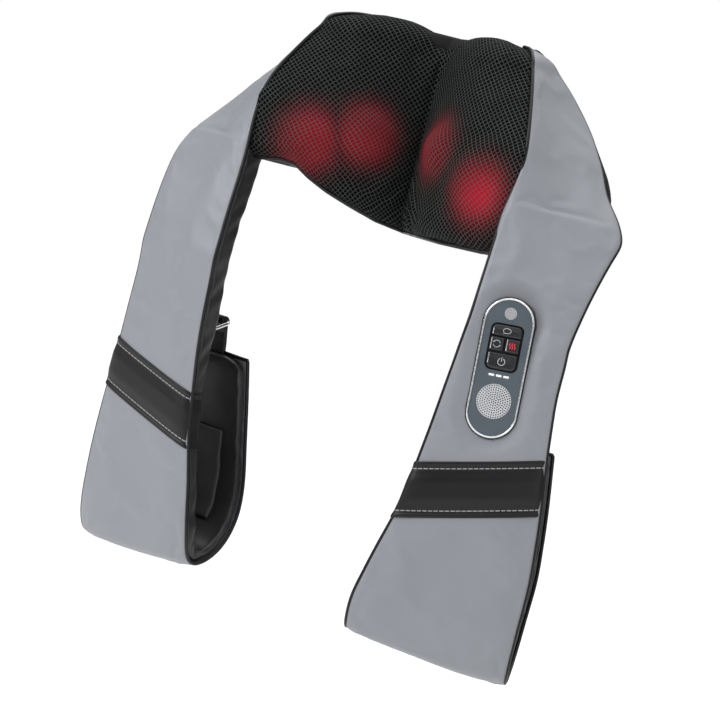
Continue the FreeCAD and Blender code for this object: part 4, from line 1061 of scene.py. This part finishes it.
def patch_rows(word):
    """The stitched patch on the inner face of the loop's return leg; its lighter colour is a painted
    reflection.
    """
    corners = CORNERS[word]
    index = np.arange(int(ROWS * 0.80), int(ROWS * 0.915))
    part = np.linspace(0.16, 0.80, 24)
    rows = between(corners[index][:, None, 3], corners[index][:, None, 2], part)
    inward = unit(np.cross(rows[:, -1] - rows[:, 0], np.gradient(rows[:, 0], axis=0)))
    away = unit(corners[index, 3] - corners[index, 0])
    inward *= np.sign(np.sum(inward * away, axis=1))[:, None]
    run = np.linspace(0, 1, len(index))[:, None]
    near = np.minimum(np.minimum(run, 1 - run) * 9, np.minimum(part - 0.16, 0.80 - part)[None, :] * 14)
    lift = 0.5 + 1.3 * np.sqrt(np.clip(near, 0, 1)) + 0.5 * np.sin(run * 17 + part[None, :] * 9)
    return rows + inward[:, None] * lift[..., None]


# each loop patch: a raised piece of cloth whose lighter colour is a painted reflection
for word, side in SIDES:
    patch = grid(f"{word}_loop_patch", patch_rows(word), PATCH_WITH_PAINTED_REFLECTION)
    thicken(patch, 1.2)
    tidy_normals(patch)
    ride(patch, f"{word}_arm", "black_liner")

for word, side in SIDES:
    rows = lining_rows(word)
    liner = grid(f"{word}_lining", rows, LINER, closed=True)
    cap_ends(liner, len(rows), rows.shape[1])
    bend_with_arm(liner, word, side, "black_liner", f"{word}_arm_liner", f"{word}_arm_foam")


# ------------------------------------------------------------------ piping
def seam_lines(word):
    corners = CORNERS[word]
    facing = outward(corners)
    over = unit(corners[:, 1] - corners[:, 0])
    inner = corners[:, 0] - over * 0.8 + facing * 0.7
    outer = corners[:, 1] + over * 0.8 + facing * 0.2
    return inner, outer, corners, facing


for word, side in SIDES:
    inner, outer, corners, facing = seam_lines(word)
    end = through([corners[-1, 0], 0.5 * (corners[-1, 0] + corners[-1, 1]) + (0, 0, 0.8), corners[-1, 1]], 30)
    if side > 0:
        height = inner[:, 2]
        tuck = smooth(height, 8, 22) * (1 - smooth(height, 62, 70))
        tuck = tuck * (np.arange(ROWS) < FIRST_ARM_ROW + 10)
        inner = inner - facing * (3.4 * tuck)[:, None]
    loop = np.vstack([inner, end[2:-2], outer[::-1]])
    cord = tube(f"{word}_piping", even(loop, 700), 1.65, PIPING)
    bend_with_arm(cord, word, side, "black_band")

binding = tube("lower_binding", lobe_points[1] + np.array([0, -0.6, -0.9]), 2.1, PIPING)
ride(binding, "chassis", "black_band")
top_cord = tube("rear_top_piping", lobe_points[-1] + np.array([0, 0.6, 0.2]), 1.7, PIPING)
ride(top_cord, "chassis", "black_band")


# ------------------------------------------------------------------ leather bands with their stitching
BAND_WIDE = 50.0
GROOVE = 6.3
STITCH_PITCH = 4.7


def band_point(side, around, up, proud):
    """A point of the band: around the arm by angle, up from its lower edge in millimetres."""
    p, q = squared_circle(around, 2.0 / 6.0)
    share = up / BAND_WIDE
    guess = 53.0 * p
    low = -222.0 + (guess + 70.0) / 140.0 * 43.0
    high = -171.0 + (guess + 70.0) / 140.0 * 38.0
    height = low + (high - low) * share
    # the arm's own edges at that height
    inner = inner_edge(height, side)
    outer = outer_edge(height)
    tight_in = 0.2 if side < 0 else 3.3
    tight_out = 3.3 if side < 0 else 0.2
    middle = 0.5 * (outer + tight_out + inner - tight_in)
    half = 0.5 * (outer + tight_out - inner + tight_in)
    proud = proud * (0.35 + 0.65 * np.abs(q) ** 5)
    x = middle + (half + proud) * p
    front_y = np.interp(-height, -OUTSIDE[:200, 1], OUTSIDE[:200, 0])
    near, far = -5.6, 15.4
    depth = 0.5 * (near + far) + (0.5 * (far - near) + proud) * q
    return np.stack([side * x, front_y + depth, height], axis=-1)


def band_profile(up):
    """Raised rolled edges, a sewn groove inside each and a padded middle."""
    near = np.minimum(up, BAND_WIDE - up)
    roll = 0.95 * np.sqrt(np.clip(1 - ((near - 1.9) / 1.9) ** 2, 0, 1)) * (near < 3.8)
    groove = -0.55 * np.exp(-((near - GROOVE) / 0.9) ** 2)
    pad = 1.7 * smooth(near, 6.5, 18.0)
    flat = 0.35 * smooth(near, 3.2, 4.6)
    return roll + groove + pad + flat


for word, side in SIDES:
    turns = np.linspace(0, 2 * math.pi, 260, endpoint=False)
    ups = np.concatenate([[0.0, 0.25, 0.6, 1.1, 1.9, 2.7, 3.2, 3.6, 4.0, 4.8, 5.4, 5.9, 6.3, 6.7, 7.2, 8.0],
                          np.linspace(9.5, BAND_WIDE / 2, 8)])
    ups = np.concatenate([ups, (BAND_WIDE - ups[:-1])[::-1]])
    rows = []
    for up in ups:
        proud = float(band_profile(np.array(up)))
        rows.append(arm_to_world(side, band_point(side, turns, up, proud)))
    for up in ups[::-1]:
        rows.append(arm_to_world(side, band_point(side, turns, up, -0.9)))
    rows.append(rows[0])
    rows = np.array(rows)
    band = grid(f"{word}_leather_band", rows, BAND, closed=True)
    tidy_normals(band, WELD)
    ride(band, f"{word}_arm", "black_band", f"{word}_arm_band")
    # a dashed line of thread in each groove
    stitches = []
    front = np.linspace(math.pi + 0.02, 2 * math.pi - 0.02, 900)
    for up in (GROOVE, BAND_WIDE - GROOVE):
        line = arm_to_world(side, band_point(side, front, up, -0.05))
        long = run_length(line)
        start = 1.0
        while start + 2.8 < long[-1] - 1.0:
            spots = np.linspace(start, start + 2.9, 5)
            stitches.append(tube("stitch", sampled(spots, long, line), 0.48, THREAD, sides=6))
            start += STITCH_PITCH
    sewing = joined(f"{word}_band_stitching", stitches)
    ride(sewing, f"{word}_arm", "grey_leatherette")


# ------------------------------------------------------------------ ring, strap, tab and studs
RING_MIDDLE, RING_HALF, RING_DEEP = -4.0, 25.0, 22.0
RING_FRONT = np.array([24.0, -112.0])
RING_WAY = np.array([math.cos(math.radians(20)), math.sin(math.radians(20))])
RING_REAR = RING_FRONT + RING_DEEP * RING_WAY
RING_BEND = 4.0
SLEEVE_POINTS = 90


def sleeve(name, side, outline, half, skin, middle):
    """A folded strip of webbing: its closed side view, pushed across the arm, with softened edges."""
    outline = even(outline, SLEEVE_POINTS, closed=True)
    centre = outline.mean(axis=0)
    rows = []
    for x, size in ((-half, 0.985), (-half + 0.3, 1.0), (0, 1.0), (half - 0.3, 1.0), (half, 0.985)):
        section = centre + (outline - centre) * size
        rows.append(arm_to_world(side, np.column_stack([np.full(SLEEVE_POINTS, middle + x), section])))
    return cap_ends(grid(name, rows, skin, closed=True), len(rows), SLEEVE_POINTS)


def wrap_outline(centre, radius, tail, thick):
    """Side view of webbing that goes round a bar and back along its tail."""
    centre = np.array(centre, float)
    tail = [np.array(p, float) for p in tail]
    way = unit(tail[0] - centre)
    start = math.atan2(way[1], way[0])
    turns = np.linspace(start + math.radians(38), start + math.radians(322), 40)
    ring = centre + (radius + thick) * np.stack([np.cos(turns), np.sin(turns)], axis=1)
    across = np.array([-way[1], way[0]])
    run = [p - across * thick for p in tail]
    back = [p + across * thick for p in reversed(tail)]
    return np.vstack([ring, run, back])


for word, side in SIDES:
    middle = side * RING_MIDDLE
    line = []
    for sx, rear, first in ((-1, 0, 180), (1, 0, 270), (1, 1, 0), (-1, 1, 90)):
        for turn in np.radians(np.linspace(first, first + 90, 8)):
            x = sx * (RING_HALF - RING_BEND) + RING_BEND * math.cos(turn)
            deep = (RING_DEEP - RING_BEND if rear else RING_BEND) + RING_BEND * math.sin(turn)
            at = RING_FRONT + deep * RING_WAY
            line.append((middle + x, at[0], at[1]))
    ring = tube(f"{word}_ring", arm_to_world(side, even(line, 120, closed=True)), 1.6, STEEL, closed=True)
    ride(ring, f"{word}_ring", "ring_steel", f"{word}_loop_ring")

    strap_tail = [(18.5, -112.8), (12.6, -114.5)]
    strap = sleeve(f"{word}_strap", side, wrap_outline(RING_FRONT, 1.9, strap_tail, 1.5), 19.0, BAND, middle)
    ride(strap, f"{word}_arm", "black_band", f"{word}_ring_strap")
    tab_tail = [(47.6, -114.0), (49.5, -124.0), (51.0, -137.0)]
    tab = sleeve(f"{word}_tab", side, wrap_outline(RING_REAR, 2.9, tab_tail, 2.1), 19.5, BAND, middle)
    ride(tab, f"{word}_arm", "black_band", f"{word}_loop_tab")


def lathe(name, outline, skin, to_world, sides):
    """A turned piece: its half outline (radius, height) spun about the local depth axis."""
    rows = []
    for radius, height in outline:
        turns = np.linspace(0, 2 * math.pi, sides, endpoint=False)
        ring = [radius * np.cos(turns), np.full(sides, height), radius * np.sin(turns)]
        rows.append(to_world(np.stack(ring, axis=1)))
    return cap_ends(grid(name, rows, skin, closed=True), len(rows), sides)


STUD = [(0.05, 0.0), (3.9, 0.0), (4.0, 0.35), (3.6, 0.7), (2.3, 0.8), (2.1, 1.0), (2.2, 2.0), (1.9, 2.5),
        (1.2, 2.75), (0.05, 2.8)]
for word, side in SIDES:
    studs = []
    for height in (-64.0, -86.0):
        at = np.array([side * -32.0, 12.0, height])
        studs.append(lathe("stud", STUD, GLOSS, lambda p: arm_to_world(side, p + at), 28))
    pair = joined(f"{word}_studs", studs)
    ride(pair, f"{word}_arm", "black_plastic", f"{word}_press_studs")


# ------------------------------------------------------------------ control panel
def stadium(half, radius, count=160):
    """A long rounded outline, as (x, z)."""
    reach = half - radius
    half_turn = np.linspace(0, math.pi, 40)
    top = [(radius * math.cos(a), reach + radius * math.sin(a)) for a in half_turn]
    lower_turn = np.linspace(math.pi, 2 * math.pi, 40)
    low = [(radius * math.cos(a), -reach + radius * math.sin(a)) for a in lower_turn]
    return even(np.array(top + low), count, closed=True)


def rounded(x, z, wide, high, radii, count=96):
    """A rectangle with its own radius at each corner: top right, top left, low left, low right."""
    points = []
    spots = ((1, 1, 0), (-1, 1, 90), (-1, -1, 180), (1, -1, 270))
    for (sx, sz, first), radius in zip(spots, radii):
        for turn in np.radians(np.linspace(first, first + 90, 10)):
            points.append((x + sx * (wide / 2 - radius) + radius * math.cos(turn),
                           z + sz * (high / 2 - radius) + radius * math.sin(turn)))
    return even(np.array(points), count, closed=True)


def circle(x, z, radius, count=12):
    turns = np.linspace(0, 2 * math.pi, count, endpoint=False)
    return np.stack([x + radius * np.cos(turns), z + radius * np.sin(turns)], axis=1)


def cut_plate(name, outline, holes, front, thick, skin, soften=0.25):
    """A flat plate with holes and softened edges, its face at the given depth of the panel."""
    curve = bpy.data.curves.new(name, "CURVE")
    curve.dimensions = "2D"
    curve.fill_mode = "BOTH"
    curve.extrude = (thick / 2 - soften) * MM
    curve.bevel_depth = soften * MM
    curve.offset = -soften * MM
    curve.bevel_resolution = 2
    for loop in [outline] + list(holes):
        spline = curve.splines.new("POLY")
        spline.points.add(len(loop) - 1)
        for point, (x, z) in zip(spline.points, loop):
            point.co = (x * MM, z * MM, 0, 1)
        spline.use_cyclic_u = True
    holder = placed(name + "_curve", curve)
    mesh = evaluated(holder)
    bpy.data.objects.remove(holder)
    flat = np.empty(len(mesh.vertices) * 3)
    mesh.vertices.foreach_get("co", flat)
    flat = flat.reshape(-1, 3) / MM
    local = np.stack([flat[:, 0], front + thick / 2 - flat[:, 2], flat[:, 1]], axis=1)
    mesh.vertices.foreach_set("co", (panel_to_world(local) * MM).ravel())
    mesh.materials.clear()
    mesh.materials.append(skin)
    return tidy_normals(placed(name, mesh), WELD)


RECESS = rounded(0, 17.3, 28.0, 39.6, (5.0, 5.0, 5.5, 5.5))
SPEAKER_Z, MIC_Z, LIGHTS_Z = -28.0, 46.0, -6.5
LIGHT_SLOTS = [rounded(x, LIGHTS_Z, 5.2, 2.3, (0.7,) * 4, 32) for x in (-6.2, 0, 6.2)]
plate = cut_plate("panel_plate", stadium(57.4, 19.9), [RECESS, circle(0, SPEAKER_Z, 14.7, 64),
                  circle(0, MIC_Z, 5.15, 40)] + LIGHT_SLOTS, -3.0, 1.8, SLATE)
ride(plate, "right_arm", "slate_plastic", "face_plate")
floor_plate = cut_plate("panel_recess_floor", rounded(0, 17.3, 30.0, 41.6, (5.5,) * 4),
                        [rounded(0, 31, 24, 8, (1,) * 4, 40), rounded(-6.6, 19.5, 10.8, 10, (1,) * 4, 40),
                         rounded(6.6, 19.5, 10.8, 10, (1,) * 4, 40), rounded(0, 5.5, 24, 12, (1,) * 4, 40)],
                        -1.5, 0.5, GLOSS, 0.1)
ride(floor_plate, "right_arm", "black_plastic")

rim = stadium(58.0, 20.5, 260)
trim = tube("panel_trim", panel_to_world(np.column_stack([rim[:, 0], np.full(260, -3.15), rim[:, 1]])), 0.85,
            SILVER, closed=True)
ride(trim, "right_arm", "silver_trim", "panel_trim_ring")
bezel_rows = []
for grow, depth in ((-0.9, -2.2), (-0.2, -3.1), (0.5, -3.2), (1.1, -2.7), (1.5, -1.6),
                    (1.7, -0.2), (1.75, 1.4), (1.7, 3.0), (-0.9, 3.0)):
    loop = stadium(58.4 + grow, 20.9 + grow, 260)
    bezel_rows.append(panel_to_world(np.column_stack([loop[:, 0], np.full(260, depth), loop[:, 1]])))
bezel_rows.append(bezel_rows[0])
bezel = tidy_normals(grid("panel_bezel", np.array(bezel_rows), GLOSS, closed=True), WELD)
ride(bezel, "right_arm", "black_plastic")


def grille_holes(z, radius, rings, hole):
    step = (radius - 0.9) / rings
    holes = [circle(0, z, hole, 8)]
    for ring in range(1, rings + 1):
        for i in range(6 * ring):
            turn = 2 * math.pi * (i + 0.5 * (ring % 2)) / (6 * ring)
            holes.append(circle(ring * step * math.cos(turn), z + ring * step * math.sin(turn), hole, 8))
    return holes


speaker = cut_plate("speaker_grille", circle(0, SPEAKER_Z, 14.5, 96), grille_holes(SPEAKER_Z, 14.3, 7, 0.62),
                    -3.25, 0.7, GRILLE, 0.08)
ride(speaker, "right_arm", "grille_metal", "grille_discs")
mic = cut_plate("microphone_grille", circle(0, MIC_Z, 5.0, 64), grille_holes(MIC_Z, 5.0, 3, 0.48),
                -3.25, 0.7, GRILLE, 0.08)
ride(mic, "right_arm", "grille_metal")
backing = cut_plate("grille_backing", circle(0, SPEAKER_Z, 14.6, 64), [], -1.9, 0.5, GLOSS, 0.1)
ride(backing, "right_arm", "black_plastic")
mic_backing = cut_plate("microphone_backing", circle(0, MIC_Z, 5.1, 48), [], -1.9, 0.5, GLOSS, 0.1)
ride(mic_backing, "right_arm", "black_plastic")


def key_cap(name, x, z, wide, high, radii, skin=KEY, top=-4.6, deep=3.2, soft=1.5, dish=0.35):
    """A moulded key: slightly dished face, rounded shoulders, straight sides."""
    profile = [(0.0, top + deep), (0.0, top + soft), (0.25, top + 0.55 * soft), (0.7, top + 0.22 * soft),
               (soft, top + 0.03), (soft + 0.7, top), (0.30 * min(wide, high), top + dish * 0.7),
               (0.47 * min(wide, high), top + dish)]
    rows = []
    for shrink, depth in profile:
        shrink = min(shrink, min(wide, high) / 2 - 0.15)
        size = [max(r - shrink, 0.25 if shrink < min(wide, high) / 2 - 0.5 else 0.1) for r in radii]
        loop = rounded(x, z, wide - 2 * shrink, high - 2 * shrink, size)
        rows.append(panel_to_world(np.column_stack([loop[:, 0], np.full(len(loop), depth), loop[:, 1]])))
    return cap_ends(grid(name, rows, skin, closed=True), len(rows), 96)


def face_line(name, points, radius=0.32, depth=-4.42, skin=ICON, closed=False):
    """A thin raised line on a key's face."""
    points = np.array(points, float)
    line = panel_to_world(np.column_stack([points[:, 0], np.full(len(points), depth), points[:, 1]]))
    return tube(name, line, radius, skin, sides=8, closed=closed)


def arc(x, z, rx, rz, start, end, count=28):
    turns = np.radians(np.linspace(start, end, count))
    return np.stack([x + rx * np.cos(turns), z + rz * np.sin(turns)], axis=1)


KEYS = {
    "voice": (0.0, 31.0, 25.0, 9.4, (4.2, 4.2, 0.9, 0.9)),
    "direction": (-6.6, 19.5, 11.8, 11.6, (0.9, 0.9, 0.9, 0.9)),
    "heat": (6.6, 19.5, 11.8, 11.6, (0.9, 0.9, 0.9, 0.9)),
    "power": (0.0, 5.5, 25.0, 13.6, (0.9, 0.9, 4.6, 4.6)),
}
for word, (x, z, wide, high, radii) in KEYS.items():
    cap = key_cap(f"{word}_cap", x, z, wide, high, radii)
    ride(cap, f"{word}_key", "black_plastic", f"{word}_button")
    # painted highlight: a thin silver strip down each key's left edge stands in for the glint of light on its
    # glossy edge
    left = x - wide / 2 + 1.15
    low = z - high / 2 + (radii[2] if radii[2] > 2 else 1.6)
    high_z = z + high / 2 - (radii[1] if radii[1] > 2 else 1.6)
    glint = face_line(f"{word}_edge_painted_glint", [(left, low), (left, 0.5 * (low + high_z)), (left, high_z)], 0.5,
                      -4.2, SILVER)
    ride(glint, f"{word}_key", "silver_trim")

bubble = arc(0, 31.2, 3.3, 2.1, -118, 222)
bubble = np.vstack([bubble, [(-2.5, 28.5)], bubble[:1]])
icons = [("voice", [face_line("line", bubble, 0.3)]),
         ("direction", [face_line("line", arc(-6.6, 19.5, 2.9, 2.9, 20, 160), 0.3),
                        face_line("line", arc(-6.6, 19.5, 2.9, 2.9, 200, 340), 0.3),
                        face_line("line", [(-10.2, 20.9), (-9.3, 20.4), (-8.6, 21.4)], 0.3),
                        face_line("line", [(-3.0, 18.1), (-3.9, 18.6), (-4.6, 17.6)], 0.3)]),
         ("power", [face_line("line", arc(0, 5.2, 2.9, 2.9, 122, 418), 0.36),
                    face_line("line", [(0, 5.6), (0, 7.2), (0, 8.9)], 0.36)])]
for word, lines in icons:
    ride(joined(f"{word}_icon", lines), f"{word}_key", "silver_trim")
waves = []
for x in (4.6, 6.6, 8.6):
    points = [(x + 0.5 * math.sin(t * 2 * math.pi), 17.3 + 4.4 * t) for t in np.linspace(0, 1, 14)]
    waves.append(face_line("line", points, 0.42, skin=HEAT))
ride(joined("heat_icon", waves), "heat_key", "heat_red")
bars = []
for x in (-6.2, 0.0, 6.2):
    bars.append(key_cap("bar", x, LIGHTS_Z, 4.7, 1.8, (0.5,) * 4, WHITE, -3.35, 1.2, 0.35, 0.0))
ride(joined("light_bars", bars), "right_arm", "light_white", "indicator_lights")


# ------------------------------------------------------------------ floor, light and camera
def stage_skin():
    skin = Finish("stage_finish", (0.93, 0.93, 0.93), 0.85)
    cloud = skin.noise(skin.place(), 3.0, 2.0)
    skin.colour(skin.blend(cloud, (0.92, 0.92, 0.92), (0.94, 0.94, 0.94)))
    return skin.material


FLOOR = -620.0
floor_rows = [[(x, y, FLOOR) for x in np.linspace(-9000, 9000, 13)] for y in np.linspace(-9000, 9000, 13)]
floor = grid("floor", floor_rows, stage_skin())


def area_light(name, at, toward, size, power):
    data = bpy.data.lights.new(name, "AREA")
    data.shape = "RECTANGLE"
    data.size, data.size_y = size
    data.energy = power
    light = placed(name, data)
    light.location = at
    light.rotation_euler = (Vector(toward) - Vector(at)).to_track_quat("-Z", "Y").to_euler()


area_light("key", (-1.5, -1.7, 1.0), (0, 0, -0.1), (1.1, 1.4), 36)
area_light("fill", (1.9, -1.4, 0.4), (0, 0, -0.1), (0.9, 1.5), 7)
area_light("top", (0.1, 0.0, 1.9), (0, 0, 0), (1.2, 1.2), 6)


def studio_world():
    """A pale surround: a wide soft box of light overhead, dim at the sides, plain white to look at."""
    world = bpy.data.worlds.new("pale_world")
    world.use_nodes = True
    tree = world.node_tree
    sky = tree.nodes["Background"]
    sky.inputs[0].default_value = (1.0, 1.0, 1.0, 1)
    way = tree.nodes.new("ShaderNodeTexCoord")
    split = tree.nodes.new("ShaderNodeSeparateXYZ")
    tree.links.new(way.outputs["Generated"], split.inputs[0])
    high = tree.nodes.new("ShaderNodeMapRange")
    high.interpolation_type = "SMOOTHSTEP"
    for key, number in (("From Min", 0.35), ("From Max", 0.8), ("To Min", 0.14), ("To Max", 1.75)):
        high.inputs[key].default_value = number
    tree.links.new(split.outputs[2], high.inputs["Value"])
    path = tree.nodes.new("ShaderNodeLightPath")
    seen = tree.nodes.new("ShaderNodeMix")
    tree.links.new(path.outputs["Is Camera Ray"], seen.inputs[0])
    tree.links.new(high.outputs[0], seen.inputs[2])
    seen.inputs[3].default_value = 1.0
    tree.links.new(seen.outputs[0], sky.inputs[1])
    return world


bpy.context.scene.world = studio_world()
bpy.context.scene.view_settings.view_transform = "Standard"

AZIMUTH, ELEVATION, ROLL = (math.radians(v) for v in (25.0, 4.0, 14.0))
CAMERA_AIM, CAMERA_DISTANCE = (0.035, 0.0, -0.123), 1.8
back = Vector((math.sin(AZIMUTH) * math.cos(ELEVATION), -math.cos(AZIMUTH) * math.cos(ELEVATION),
               math.sin(ELEVATION)))
level = Vector((math.cos(AZIMUTH), math.sin(AZIMUTH), 0))
upright = back.cross(level)
right = level * math.cos(ROLL) + upright * math.sin(ROLL)
up = upright * math.cos(ROLL) - level * math.sin(ROLL)
camera_data = bpy.data.cameras.new("camera")
camera_data.lens = 104.65
camera_data.sensor_width = 36.0
camera = placed("camera", camera_data)
place = Matrix((right, up, back)).transposed().to_4x4()
place.translation = Vector(CAMERA_AIM) + back * CAMERA_DISTANCE
camera.matrix_world = place
bpy.context.scene.camera = camera
